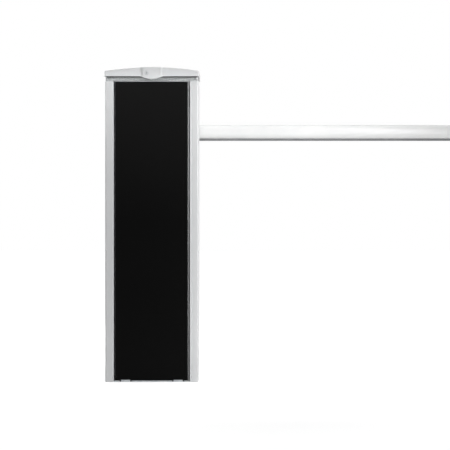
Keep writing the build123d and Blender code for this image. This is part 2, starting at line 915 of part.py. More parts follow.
def gearbox_bolts():
    """Four long bolts from the cover through the housing and the plate."""
    length = gear_depth + plate_thickness + nut_thread
    solids = []
    for x, z in gear_bolt_places():
        solids.append(bolt(facing_front(x, gear_front, z), bolt_radius, length))
        solids.append(screw_nut(facing_back(x, plate_back, z)))
    return solids


def motor_middle():
    """The depth of the motor's axis."""
    return plate_front - max(motor_radius, motor_flange_width / 2) - touch_gap


def motor_can():
    """The motor under the gearbox: square flange and round steel can."""
    top = gear_axis_z - gear_height / 2
    half = motor_flange_width / 2
    y = (motor_middle() - half, motor_middle() + half)
    flange = block((-half, half), y, (top - motor_flange_thickness, top))
    flange = fillet(vertical_edges(flange), motor_flange_corner)
    can = (top - motor_length, top - motor_flange_thickness)
    return flange + round_bar("Z", (0, motor_middle()), motor_radius, can)


def motor_end_cap():
    """The moulded cap of the motor, over its brushes and the position sensor."""
    top = gear_axis_z - gear_height / 2 - motor_length
    cap = round_bar("Z", (0, motor_middle()), motor_radius + motor_cap_step, (top - motor_cap_length, top))
    return fillet(cap.edges().group_by(Axis.Z)[0], motor_cap_fillet)


def motor_crank():
    """The crank on the gearbox's output shaft, parallel to the lever's drive arm."""
    centre = (0, gear_axis_z)
    end = lever_end(-lever_angle, drive_arm)
    outline = arm_sketch(crank_hub_radius - touch_gap, end, lever_end_radius, centre)
    crank = y_prism(outline, (crank_front, crank_back))
    hub = (crank_back - crank_hub_length, crank_back)
    crank += round_bar("Y", centre, crank_hub_radius, hub)
    cut = (front, back)
    crank -= round_bar("Y", centre, output_radius + fit_clearance, cut)
    return crank - round_bar("Y", (drive_x, centre[1] + end[1]), pin_radius + fit_clearance, cut)


def output_shaft():
    """The gearbox's output shaft, which carries the crank."""
    span = (crank_back - crank_hub_length, gear_front + output_bore_depth - screw_clearance)
    shaft = round_bar("Y", (0, gear_axis_z), output_radius, span)
    return chamfer(shaft.edges().filter_by(GeomType.CIRCLE), touch_gap)


def crank_pin():
    """The pin of the crank."""
    return pin(drive_x, crank_pin_z, crank_back)


def rod_end(z, direction, clearance):
    """An eye on a pin with its threaded shank pointing along the rod."""
    reach = eye_radius + rod_shank_length
    shank = sorted((z + direction * eye_radius / 2, z + direction * reach))
    end = round_bar("Z", (drive_x, eye_middle), rod_shank_radius, shank)
    end += round_bar("Y", (drive_x, z), eye_radius, (eye_front, eye_back))
    hole = (eye_front - overrun, eye_back + overrun)
    return end - round_bar("Y", (drive_x, z), pin_radius + clearance, hole)


def rod_ends():
    """The two eyes of the connecting rod. The upper one has room round the lever's pin."""
    return [rod_end(crank_pin_z, 1, fit_clearance), rod_end(drive_pin_z, -1, touch_gap)]


def rod_bar():
    """The long sleeve between the eyes, tapped at both ends."""
    low = crank_pin_z + eye_radius
    high = drive_pin_z - eye_radius
    gap = rod_shank_length / 2
    bar = round_bar("Z", (drive_x, eye_middle), rod_bar_radius, (low + gap, high - gap))
    bore = rod_shank_radius + fit_clearance
    depth = rod_shank_length + fit_clearance
    for z in ((low, low + depth), (high - depth, high)):
        bar -= round_bar("Z", (drive_x, eye_middle), bore, z)
    return bar


def rod_nuts():
    """Two lock nuts against the sleeve."""
    low = crank_pin_z + eye_radius + rod_shank_length / 2
    high = drive_pin_z - eye_radius - rod_shank_length / 2
    nuts = []
    for start in (low - rod_nut_height, high):
        place = Pos(drive_x, eye_middle, start)
        nuts.append(nut(place, rod_nut_radius, rod_shank_radius, rod_nut_height))
    return nuts


def release_knob():
    """The winged knob that frees the gearbox by hand, on its shank in the cover."""
    x, z = release_place()
    knob_y = (gear_front - touch_gap - release_length, gear_front - touch_gap)
    knob = round_bar("Y", (x, z), release_radius, knob_y)
    half = release_wing_thickness / 2
    wing_y = (knob_y[0], knob_y[0] + release_length / 2)
    knob += block((x - release_wing / 2, x + release_wing / 2), wing_y, (z - half, z + half))
    shank = (gear_front - release_length, gear_front + release_shank_depth)
    return knob + round_bar("Y", (x, z), release_shank_radius, shank)


def stop_frame(open_end):
    """The point on the drive arm's flank that meets a buffer, and the way out of it, in X and Z."""
    hub = lever_hub_radius - touch_gap
    taper = math.degrees(math.asin((hub - lever_end_radius) / drive_arm))
    angle = lever_angle if open_end else -lever_angle
    out_angle = angle + 90 - taper if open_end else angle - 90 + taper
    out = lever_end(out_angle, 1)
    tip = lever_end(angle, drive_arm)
    root_share = 1 - stop_share
    width = hub * root_share + lever_end_radius * stop_share
    x = out[0] * width + tip[0] * stop_share
    z = out[1] * width + tip[1] * stop_share
    return (x, shaft_height + z), out


def stop_along(open_end, distance):
    """A point at a distance from the arm's flank, out along the stop bolt."""
    (x, z), (dx, dz) = stop_frame(open_end)
    return x + dx * distance, z + dz * distance


def stop_places():
    """The X and Z of the two stop posts."""
    return [stop_along(open_end, stop_post_offset) for open_end in (False, True)]


def stop_axis(open_end, distance):
    """A place on the stop bolt's line whose Z axis points at the arm."""
    x, z = stop_along(open_end, distance)
    dx, dz = stop_frame(open_end)[1]
    middle = (crank_front + crank_back) / 2
    return Location(Plane(origin=(x, middle, z), z_dir=(-dx, 0, -dz)))


def stop_posts():
    """Two studs on the mechanism plate, cross-drilled for the stop bolts."""
    posts = []
    for open_end, (x, z) in zip((False, True), stop_places()):
        post = round_bar("Y", (x, z), stop_post_radius, (crank_front, plate_front))
        tail = (plate_front - touch_gap, plate_back + plate_thickness)
        post += round_bar("Y", (x, z), bolt_radius, tail)
        hole = Cylinder(stop_bolt_radius + fit_clearance, 4 * stop_post_radius)
        posts.append(post - stop_axis(open_end, stop_post_offset) * hole)
    return posts


def stop_bolts():
    """The two adjusting bolts of the end stops, each with a lock nut behind its post."""
    pieces = []
    for open_end in (False, True):
        place = stop_axis(open_end, touch_gap + buffer_length)
        shank = Cylinder(stop_bolt_radius, stop_bolt_length)
        pieces.append(place * Pos(0, 0, -stop_bolt_length / 2) * shank)
        back_place = stop_axis(open_end, stop_post_offset + stop_post_radius + stop_nut_height)
        pieces.append(nut(back_place, stop_nut_radius, stop_bolt_radius, stop_nut_height))
    return pieces


def stop_buffers():
    """The rubber buffers on the stop bolts."""
    buffers = []
    for open_end in (False, True):
        place = stop_axis(open_end, touch_gap + buffer_length)
        buffers.append(place * Pos(0, 0, buffer_length / 2) * Cylinder(buffer_radius, buffer_length))
    return buffers


def boom_hub():
    """The keyed hub on the shaft's rear end, whose flange carries the boom holder."""
    centre = (0, shaft_height)
    hub = round_bar("Y", centre, hub_boss_radius, (hub_front, hub_back))
    flange = (hub_back - hub_flange_length, hub_back)
    hub += round_bar("Y", centre, hub_flange_radius, flange)
    bore_end = hub_back - hub_flange_length / 2 + fit_clearance
    hub -= round_bar("Y", centre, shaft_radius + fit_clearance, (front, bore_end))
    top = shaft_height + shaft_radius
    seat = (hub_front - overrun, bore_end)
    hub -= block(key_span(fit_clearance), seat, (shaft_height, top + key_height / 2 + fit_clearance))
    for place in hub_bolt_places():
        hub -= round_bar("Y", place, hub_bolt_radius + screw_clearance, (flange[0], hub_back + overrun))
    return hub


def hub_bolt_places():
    """The four bolts round the boss of the hub, as X and Z."""
    spacing = (hub_boss_radius + hub_flange_radius) / 2 * math.sqrt(2)
    return [(x, shaft_height + z) for x, z in corner_places(spacing, spacing)]


def holder_bolt_places():
    """The four bolts of the boom holder, as X and Z."""
    x = (-holder_left + holder_bolt_inset, holder_right - holder_bolt_inset)
    half = holder_half + holder_flange_height / 2
    return [(place, boom_z + sign * half) for place in x for sign in (1, -1)]


def holder_shell(y):
    """The outline of the boom holder between two depths, flanges included."""
    half = holder_half + holder_flange_height
    solid = block((-holder_left, holder_right), y, (boom_z - half, boom_z + half))
    return fillet(solid.edges().filter_by(Axis.Y), holder_corner_radius)


def boom_holder():
    """The cast channel that grips the root of the boom."""
    z = (boom_z - holder_half, boom_z + holder_half)
    body = block((-holder_left, holder_right), (holder_front, holder_back), z)
    body += holder_shell((holder_back - holder_wall, holder_back))
    pocket = Pos(boom_middle, boom_z) * boom_outline(holder_fit)
    pocket_length = holder_left + holder_right + 2 * overrun
    body -= Pos(-holder_left - overrun, 0, 0) * extrude(Plane.YZ * pocket, pocket_length)
    edge_half = edge_width / 2 + holder_fit
    edge_z = (boom_z - boom_height / 2 - edge_drop - holder_fit, boom_z)
    edge_y = (boom_middle - edge_half, boom_middle + edge_half)
    body -= block((-holder_left - overrun, holder_right + overrun), edge_y, edge_z)
    for x, z in holder_bolt_places():
        body -= round_bar("Y", (x, z), bolt_radius + screw_clearance, (holder_front, holder_back + overrun))
    thread = (holder_front - overrun, holder_front + hub_bolt_bite + screw_clearance)
    for place in hub_bolt_places():
        body -= round_bar("Y", place, hub_bolt_radius + screw_clearance, thread)
    return body


def holder_cover():
    """The plate that closes the holder behind the boom."""
    cover = holder_shell((holder_back, holder_back + holder_cover_thickness))
    for x, z in holder_bolt_places():
        cut = (holder_back - overrun, holder_back + overrun)
        cover -= round_bar("Y", (x, z), bolt_radius + screw_clearance, cut)
    return cover


def holder_bolts():
    """Four bolts from the hub into the holder, and four through cover and flanges, with nuts in front."""
    grip = holder_wall + holder_cover_thickness
    solids = []
    for x, z in hub_bolt_places():
        place = facing_front(x, hub_back - hub_flange_length, z)
        solids.append(bolt(place, hub_bolt_radius, hub_flange_length + hub_bolt_bite))
    for x, z in holder_bolt_places():
        y = holder_back + holder_cover_thickness
        solids.append(bolt(facing_back(x, y, z), bolt_radius, grip + nut_thread))
        solids.append(screw_nut(facing_front(x, y - grip, z)))
    return solids


def boom_outline(margin):
    """The oval of the boom, drawn in Y and Z, with a margin all round."""
    width = boom_depth + 2 * margin
    return SlotOverall(boom_height + 2 * margin, width, rotation=90)


def boom_tube():
    """The oval extrusion with the slot for its rubber edge."""
    section = boom_outline(0) - boom_outline(-boom_wall)
    bottom = -boom_height / 2
    floor_z = bottom + boom_wall
    bed = flat((-edge_width / 2, edge_width / 2), (bottom, floor_z + boom_wall))
    section += bed - (bed - boom_outline(0))
    slot_half = edge_neck / 2 + touch_gap
    section -= flat((-slot_half, slot_half), (bottom - overrun, floor_z + 2 * boom_wall))
    section = Pos(boom_middle, boom_z) * section
    return Pos(-boom_root, 0, 0) * extrude(Plane.YZ * section, boom_length)


def boom_edge():
    """The rubber edge: a strip under the boom, its neck in the slot and its head inside."""
    bottom = -boom_height / 2
    floor_top = bottom + 2 * boom_wall
    strip = flat((-edge_width / 2, edge_width / 2), (bottom - edge_drop, floor_top))
    strip -= boom_outline(touch_gap)
    head_bottom = floor_top + touch_gap
    head_top = head_bottom + edge_head_height
    strip += flat((-edge_neck / 2, edge_neck / 2), (bottom - edge_drop / 2, head_top))
    strip += flat((-edge_head_width / 2, edge_head_width / 2), (head_bottom, head_top))
    strip = Pos(boom_middle, boom_z) * strip
    return Pos(-boom_root, 0, 0) * extrude(Plane.YZ * strip, boom_length)


def boom_end_cap():
    """The moulded cap in the far end of the boom."""
    end = boom_length - boom_root
    place = Pos(boom_middle, boom_z)
    cap = Pos(end, 0, 0) * extrude(Plane.YZ * (place * boom_outline(0)), end_cap_length)
    cap = fillet(cap.edges().group_by(Axis.X)[-1], end_cap_fillet)
    plug = boom_outline(-boom_wall - touch_gap)
    head_top = 2 * boom_wall + edge_head_height + 2 * touch_gap - boom_height / 2
    plug -= flat((-boom_depth, boom_depth), (-boom_height, head_top))
    return cap + Pos(end - end_cap_plug, 0, 0) * extrude(Plane.YZ * (place * plug), end_cap_plug)


def rounded_ring(outer_x, outer_y, width, z, radius):
    """A rectangular ring with rounded corners, its outer limits given as half sizes."""
    outer = RectangleRounded(2 * outer_x, 2 * outer_y, radius)
    inner_radius = max(radius - width, touch_gap)
    inner = RectangleRounded(2 * (outer_x - width), 2 * (outer_y - width), inner_radius)
    return Pos(0, 0, z[0]) * extrude(outer - inner, z[1] - z[0])


def head_frame():
    """The moulded head: a flange on the profiles and a skirt that reaches down inside them."""
    outer_x = side - head_flange_setback
    outer_y = back - head_flange_setback
    flange = Pos(0, 0, profile_top) * extrude(
        RectangleRounded(2 * outer_x, 2 * outer_y, lens_corner_radius), head_flange_thickness
    )
    skirt = block((-skirt_side, skirt_side), (skirt_front, skirt_back), (skirt_bottom, flange_top))
    inner = block(
        (-skirt_side + head_skirt_wall, skirt_side - head_skirt_wall),
        (skirt_front + head_skirt_wall, skirt_back - head_skirt_wall),
        (skirt_bottom - overrun, flange_top + overrun),
    )
    return flange + skirt - inner


def light_lens():
    """The clear band under the lid."""
    z = (flange_top, lens_top)
    return rounded_ring(side - lens_setback, back - lens_setback, lens_wall, z, lens_corner_radius)


def lens_seal():
    """The black rubber seal between the band and the lid."""
    z = (lens_top, seal_top)
    return rounded_ring(side - seal_setback, back - seal_setback, seal_width, z, lens_corner_radius)


def led_board():
    """The upright circuit strip behind the band."""
    z = (flange_top, flange_top + led_board_height)
    return rounded_ring(side - led_setback, back - led_setback, led_board_thickness, z, lens_corner_radius)


def led_row(half_length, place):
    """A row of lamps along X, moved and turned by its place."""
    count = int(half_length // led_pitch)
    lamps = []
    for step in range(-count, count + 1):
        lamp = Box(led_size, led_depth, led_size)
        lamps.append(place * Pos(step * led_pitch, -led_depth / 2, 0) * lamp)
    return lamps


def led_strip():
    """The circuit strip with its white lamps on the front, the back and the sides."""
    z = flange_top + led_board_height / 2
    x = side - led_setback
    y = back - led_setback
    long_row = x - 2 * lens_corner_radius
    short_row = y - 2 * lens_corner_radius
    solids = [led_board()]
    solids += led_row(long_row, Pos(0, -y, z))
    solids += led_row(long_row, Pos(0, y, z) * Rot(0, 0, 180))
    solids += led_row(short_row, Pos(x, 0, z) * Rot(0, 0, 90))
    solids += led_row(short_row, Pos(-x, 0, z) * Rot(0, 0, -90))
    return solids


def lid_blank(inset, bottom):
    """The arched body of the lid, drawn in by an inset, from its lower level up."""
    half = lid_side - inset
    depth = lid_back - inset
    rise = crown_radius - inset
    centre_z = overall_height - crown_radius
    outline = RectangleRounded(2 * half, 2 * depth, lid_corner_radius - inset)
    plan = Pos(0, 0, bottom) * extrude(outline, overall_height - bottom + overrun)
    arch = round_bar("Y", (0, centre_z), rise, (-depth, depth))
    return plan & arch


def tongue_outline(inset):
    """The front outline of the nose: flared shoulders and a round dip under the lid's edge."""
    half = tongue_half_width - inset
    dip = lid_bottom - tongue_drop + inset
    shoulder = lid_bottom + inset
    top = overall_height + overrun
    middle = (shoulder + dip) / 2
    points = [(-half, shoulder), (-half / 2, middle), (0, dip), (half / 2, middle), (half, shoulder)]
    curve = Spline(points, tangents=((1, 0), (1, 0)))
    side_lines = Polyline((half, shoulder), (half, top), (-half, top), (-half, shoulder))
    return make_face(curve.edges() + side_lines.edges())


def nose_blank(inset):
    """The nose in plan: a flat face with slanted flanks in front of the lid."""
    root = nose_root_width / 2 - inset
    face = nose_face_width / 2 - inset
    y_face = nose_front + inset
    y_root = lid_front + lid_wall
    plan = make_face(Polyline(
        (-root, y_root), (-root, lid_front), (-face, y_face), (face, y_face),
        (root, lid_front), (root, y_root), (-root, y_root),
    ))
    low = lid_bottom - tongue_drop - overrun
    return Pos(0, 0, low) * extrude(plan, overall_height - low + overrun)


def lid_hollow_limit():
    """The space inside the arch and above the rim, deep enough for the nose."""
    centre = (0, overall_height - crown_radius)
    arch = round_bar("Y", centre, crown_radius - lid_wall, (nose_front, lid_back))
    x = (-tongue_half_width, tongue_half_width)
    z = (lid_bottom + lid_rim_thickness, overall_height)
    return arch & block(x, (nose_front, lid_front + 2 * lid_wall), z)


def lid():
    """The moulded lid: an arched shell with the nose for the lock and an inner rim."""
    arch = round_bar("Y", (0, overall_height - crown_radius), crown_radius, (nose_front, lid_back))
    outer = lid_blank(0, lid_bottom)
    outer = fillet(outer.edges().group_by(Axis.Z)[-1], lid_edge_radius)
    nose_y = (nose_front, lid_front + lid_wall - tongue_gap)
    nose = nose_blank(0) & y_prism(tongue_outline(0), nose_y) & arch
    skirt = y_prism(tongue_outline(0), (lid_front, lid_front + lid_wall - tongue_gap)) & arch
    shell = outer + nose + skirt
    cavity = lid_blank(lid_wall, lid_bottom + lid_rim_thickness)
    rim = lid_wall + lid_rim_width
    rim_opening = RectangleRounded(2 * (lid_side - rim), 2 * (lid_back - rim), lid_corner_radius)
    mouth = Pos(0, 0, lid_bottom - overrun) * extrude(rim_opening, overrun + lid_rim_thickness + touch_gap)
    shell = shell - cavity - mouth
    shell -= nose_blank(nose_wall) & y_prism(tongue_outline(nose_wall), nose_y) & lid_hollow_limit()
    lock_cut = (lock_front - overrun, lock_back)
    return shell - round_bar("Y", (lock_offset, lock_z), lock_barrel_radius, lock_cut)


def lock_barrel():
    """The fixed body of the lock in the nose, with a flange in front."""
    return ring(
        "Y", (lock_offset, lock_z), lock_barrel_radius - fit_clearance, lock_plug_radius + fit_clearance,
        (lock_front, lock_back),
    )


def lock_plug():
    """The turning plug of the lock, with the slot for the key."""
    y = (lock_front, lock_back + lock_cam_thickness)
    plug = round_bar("Y", (lock_offset, lock_z), lock_plug_radius, y)
    half = lock_slot_width / 2
    slot_z = (lock_z - lock_slot_height / 2, lock_z + lock_slot_height / 2)
    slot_y = (lock_front - overrun, lock_front + lock_slot_depth)
    plug -= block((lock_offset - half, lock_offset + half), slot_y, slot_z)
    return plug


def lock_cam():
    """The tongue on the plug, hanging down while the lid is unlocked."""
    y = (lock_back + touch_gap, lock_back + lock_cam_thickness)
    half = lock_cam_width / 2
    reach = lock_z - lock_cam_length
    cam = block((lock_offset - half, lock_offset + half), y, (reach, lock_z))
    cam += round_bar("Y", (lock_offset, lock_z), lock_plug_radius + lock_cam_thickness, y)
    hole = (y[0] - overrun, y[1] + overrun)
    return cam - round_bar("Y", (lock_offset, lock_z), lock_plug_radius + fit_clearance, hole)


def lock_strike():
    """The keeper on the head: a post and the ledge over the turned cam."""
    middle = lock_back + lock_cam_thickness / 2
    y = (middle - strike_depth / 2, middle + strike_depth / 2)
    tip = lock_offset + lock_cam_length + strike_gap
    ledge_z = lock_z + lock_cam_width / 2 + strike_gap
    top = ledge_z + strike_sheet
    post = block((tip, tip + strike_sheet), y, (flange_top, top))
    post += block((tip - strike_cover, tip + strike_sheet), y, (ledge_z, top))
    foot_x = (tip, tip + strike_cover + strike_sheet)
    foot_z = (flange_top, flange_top + strike_sheet)
    return post + block(foot_x, (skirt_front - touch_gap, y[1]), foot_z)


def hinge_spans(middle):
    """The X limits of the three knuckles of one hinge: left, middle and right."""
    half = hinge_middle / 2
    left = (middle - hinge_width / 2, middle - half - hinge_play)
    right = (middle + half + hinge_play, middle + hinge_width / 2)
    return left, (middle - half, middle + half), right


def hinge_middles():
    """The X of the two hinges."""
    return (-hinge_spacing / 2, hinge_spacing / 2)


def hinge_brackets():
    """The fixed halves of the lid hinges, stepped round the band to the knuckle."""
    inner = back - head_flange_setback + touch_gap * 2 + lens_setback
    outer = inner + hinge_sheet
    knuckle_out = hinge_y + knuckle_radius
    low = hinge_z - hinge_leg_drop
    shelf = hinge_z - hinge_shelf_drop
    brackets = []
    for middle in hinge_middles():
        x = hinge_spans(middle)[1]
        leg = block(x, (inner, outer), (low, shelf))
        foot = block(x, (rear_panel_back, outer), (low, low + hinge_foot_height / 2))
        step = block(x, (inner, knuckle_out), (shelf - hinge_sheet, shelf))
        web = block(x, (knuckle_out - hinge_sheet, knuckle_out), (shelf - hinge_sheet, hinge_z))
        solid = leg + foot + step + web + round_bar("X", (hinge_y, hinge_z), knuckle_radius, x)
        cut = (x[0] - overrun, x[1] + overrun)
        brackets.append(solid - round_bar("X", (hinge_y, hinge_z), hinge_pin_radius + fit_clearance, cut))
    return brackets


def hinge_leaves():
    """The moving halves on the lid's back wall."""
    leaves = []
    for middle in hinge_middles():
        left, _, right = hinge_spans(middle)
        top = hinge_z + hinge_leaf_height
        low = hinge_z + knuckle_radius
        leaf = block((left[0], right[1]), (lid_back, lid_back + hinge_sheet), (low, top))
        for x in (left, right):
            leaf += block(x, (lid_back, hinge_y), (hinge_z, low + hinge_sheet))
            leaf += round_bar("X", (hinge_y, hinge_z), knuckle_radius, x)
            cut = (x[0] - hinge_play / 2, x[1] + hinge_play / 2)
            leaf -= round_bar("X", (hinge_y, hinge_z), hinge_pin_radius + fit_clearance, cut)
        leaves.append(leaf)
    return leaves


def hinge_pins():
    """The two pins of the lid hinges."""
    half = hinge_width / 2
    centre = (hinge_y, hinge_z)
    return [round_bar("X", centre, hinge_pin_radius, (m - half, m + half)) for m in hinge_middles()]


def door_panel():
    """The folded front door, with the ears and notches that stand round the hooks."""
    y_skin = (door_front, door_front + door_sheet)
    y_all = (door_front, door_front + door_return)
    z = (door_bottom, door_top)
    outer = block((-door_half, door_half), y_all, z)
    front_edges = outer.edges().group_by(Axis.Y)[0]
    outer = fillet(front_edges, door_bend_radius)
    inner = block(
        (-door_half + door_sheet, door_half - door_sheet),
        (y_skin[1], y_all[1] + overrun),
        (z[0] + door_sheet, z[1] - door_sheet),
    )
    panel = outer - fillet(inner.edges().group_by(Axis.Y)[0], door_bend_radius - door_sheet)
    for sign in (1, -1):
        middle = sign * hook_x
        half = hook_width / 2 + door_hook_gap
        notch_z = (door_bottom - overrun, door_bottom + door_notch_height)
        panel -= block((middle - half, middle + half), (door_front - overrun, y_all[1] + overrun), notch_z)
        for ear in (middle - half - door_ear_width, middle + half):
            ear_z = (door_bottom - door_ear_drop, door_bottom + door_sheet)
            panel += block((ear, ear + door_ear_width), y_skin, ear_z)
    return panel


def door_catches():
    """The two magnetic catches on the head's skirt that hold the top of the door."""
    top = door_top - catch_drop
    y = (door_front + door_sheet + catch_gap, skirt_front)
    half = catch_width / 2
    catches = []
    for middle in (-catch_spacing / 2, catch_spacing / 2):
        body = block((middle - half, middle + half), y, (top - catch_height, top))
        catches.append(chamfer(body.edges().group_by(Axis.Y)[0], touch_gap * 2))
    return catches


def control_tray():
    """The moulded tray of the control unit, open at the top under the lid."""
    x = (-tray_side, tray_side)
    y = (tray_front, tray_back)
    outer = block(x, y, (tray_bottom, tray_top))
    outer = fillet(vertical_edges(outer), tray_corner_radius)
    inner = block(
        (x[0] + tray_wall, x[1] - tray_wall), (y[0] + tray_wall, y[1] - tray_wall),
        (tray_bottom + tray_wall, tray_top + overrun),
    )
    tray = outer - fillet(vertical_edges(inner), tray_corner_radius - tray_wall)
    for place in standoff_places():
        tray += round_bar("Z", place, standoff_radius, (tray_bottom, board_bottom))
    for place in gland_places():
        cut = (tray_bottom - overrun, tray_bottom + overrun)
        tray -= round_bar("Z", place, gland_radius + fit_clearance, cut)
    return tray


def board_limits():
    """The limits of the control board in X and Y. It leaves the strip over the glands free."""
    x = (-tray_side + board_margin, tray_side - board_margin)
    y = (tray_front + board_margin, tray_back - board_margin - 2 * gland_flange_radius)
    return x, y


def standoff_places():
    """The four feet under the control board."""
    x, y = board_limits()
    inset = standoff_radius * 2
    return [(a, b) for a in (x[0] + inset, x[1] - inset) for b in (y[0] + inset, y[1] - inset)]


def gland_places():
    """The cable glands in the floor of the tray, behind the board."""
    y = tray_back - tray_wall - gland_flange_radius - tray_wall
    first = -gland_spacing * (gland_count - 1) / 2
    return [(first + gland_spacing * step, y) for step in range(gland_count)]


def cable_glands():
    """Glands with a flange inside the tray and a bore for the cable."""
    glands = []
    floor_top = tray_bottom + tray_wall
    for place in gland_places():
        gland = round_bar("Z", place, gland_radius, (tray_bottom - gland_length, floor_top))
        gland += round_bar("Z", place, gland_flange_radius, (floor_top, floor_top + gland_flange_thickness))
        cut = (tray_bottom - gland_length - overrun, floor_top + overrun)
        glands.append(gland - round_bar("Z", place, gland_bore, cut))
    return glands


def control_board():
    """The circuit board of the control unit."""
    x, y = board_limits()
    return block(x, y, (board_bottom, board_top))


def terminal_blocks():
    """The row of plug-in terminals along the front edge of the board, each with its wire ports."""
    y = (board_limits()[1][0], board_limits()[1][0] + terminal_depth)
    first = -terminal_pitch * (terminal_count - 1) / 2
    width = terminal_pitch - terminal_depth / 2
    blocks = []
    for step in range(terminal_count):
        x = first + terminal_pitch * step
        solid = block((x - width / 2, x + width / 2), y, (board_top, board_top + terminal_height))
        solid = chamfer(solid.edges().filter_by(Axis.X).group_by(Axis.Z)[-1], terminal_chamfer)
        port_z = board_top + terminal_port_rise
        for port in range(terminal_ports):
            port_x = x - width / 2 + width * (port + 0.5) / terminal_ports
            port_span_x = (port_x - terminal_port_width / 2, port_x + terminal_port_width / 2)
            cut_y = (y[0] - overrun, y[0] + terminal_depth / 2)
            solid -= block(port_span_x, cut_y, (port_z, port_z + terminal_port_height))
        blocks.append(solid)
    return blocks


def transformer_core():
    """The laminated core of the mains transformer."""
    x, y = transformer_limits()
    core = block(x, y, (board_top, board_top + transformer_height))
    window = (x[0] + transformer_band, x[1] - transformer_band)
    z = (board_top + transformer_band / 2, board_top + transformer_height - transformer_band / 2)
    return core - block(window, (y[0] - overrun, y[1] + overrun), z)


def transformer_limits():
    """The limits of the transformer's core in X and Y."""
    right = board_limits()[0][1] - terminal_depth
    middle = (board_limits()[1][0] + terminal_depth + board_limits()[1][1]) / 2
    half = transformer_depth / 2
    return (right - transformer_width, right), (middle - half, middle + half)


def transformer_coil():
    """The wound coil that passes through the core's window."""
    x, y = transformer_limits()
    middle = (y[0] + y[1]) / 2
    gap = touch_gap
    window = (x[0] + transformer_band + gap, x[1] - transformer_band - gap)
    reach = transformer_band / 2 + gap
    z = (board_top + reach, board_top + transformer_height - reach)
    half = transformer_coil_depth / 2
    coil = block(window, (middle - half, middle + half), z)
    return fillet(coil.edges().filter_by(Axis.Y), coil_edge_radius)


def board_parts():
    """Relays and capacitors on the left of the board."""
    x, y = board_limits()
    solids = []
    for step in range(relay_count):
        left = x[0] + terminal_depth + step * (relay_width + part_gap)
        span = (left, left + relay_width)
        depth = (y[1] - relay_depth - terminal_depth, y[1] - terminal_depth)
        solids.append(block(span, depth, (board_top, board_top + relay_height)))
    for step in range(capacitor_count):
        place_x = x[0] + terminal_depth + capacitor_radius + step * (2 * capacitor_radius + part_gap)
        place = (place_x, y[0] + terminal_depth * 2 + capacitor_radius * 2)
        solids.append(round_bar("Z", place, capacitor_radius, (board_top, board_top + capacitor_height)))
    return solids


def save(name, shape):
    """Writes one node. A list becomes a group of separate solids."""
    if isinstance(shape, list):
        shape = Compound(children=[piece for item in shape for piece in item.solids()])
    export_step(shape, "parts/" + name + ".step")


def main():
    """Makes every node of the barrier."""
    os.makedirs("parts", exist_ok=True)
    profile = drilled_profile()
    save("base_plate", base_plate())
    save("right_profile", profile)
    save("left_profile", mirrored(profile))
    save("frame_bolts", frame_screws() + bracket_bolts() + plate_bolts())
    save("rear_panel", rear_panel())
    save("shaft_seal", shaft_seal())
    save("mechanism_plate", mechanism_plate())
    save("front_bearing", bearing(plate_front, -1))
    save("rear_bearing", bearing(plate_back, 1))
    save("bearing_bolts", bearing_bolts())
    save("main_shaft", main_shaft())
    save("shaft_keys", shaft_keys())
    save("balance_lever", balance_lever())
    save("lever_pins", lever_pins())
    save("balance_spring", balance_spring())
    save("spring_eye", spring_eye())
    save("spring_rod", spring_rod())
    save("spring_nuts", spring_nuts())
    save("spring_bracket", spring_bracket())
    save("gearbox_housing", gearbox_housing())
    save("gearbox_cover", gearbox_cover())
    save("gearbox_bolts", gearbox_bolts())
    save("motor_can", motor_can())
    save("motor_end_cap", motor_end_cap())
    save("output_shaft", output_shaft())
    save("motor_crank", motor_crank())
    save("crank_pin", crank_pin())
    save("rod_ends", rod_ends() + rod_nuts())
    save("rod_bar", rod_bar())
    save("release_knob", release_knob())
    save("stop_posts", stop_posts())
    save("stop_bolts", stop_bolts())
    save("stop_buffers", stop_buffers())
    save("boom_hub", boom_hub())
    save("boom_holder", boom_holder())
    save("holder_cover", holder_cover())
    save("holder_bolts", holder_bolts())
    save("boom_tube", boom_tube())
    save("boom_edge", boom_edge())
    save("boom_end_cap", boom_end_cap())
    save("head_frame", head_frame())
    save("light_lens", light_lens())
    save("lens_seal", lens_seal())
    save("led_strip", led_strip())
    save("lid", lid())
    save("hinge_leaves", hinge_leaves())
    save("hinge_brackets", hinge_brackets())
    save("hinge_pins", hinge_pins())
    save("lock_barrel", lock_barrel())
    save("lock_plug", lock_plug())
    save("lock_cam", lock_cam())
    save("lock_strike", lock_strike())
    save("door_panel", door_panel())
    save("door_catches", door_catches())
    save("control_tray", control_tray())
    save("cable_glands", cable_glands())
    save("control_board", [control_board()] + board_parts())
    save("terminal_blocks", terminal_blocks())
    save("transformer", [transformer_core(), transformer_coil()])


main()
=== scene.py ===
import json
import math

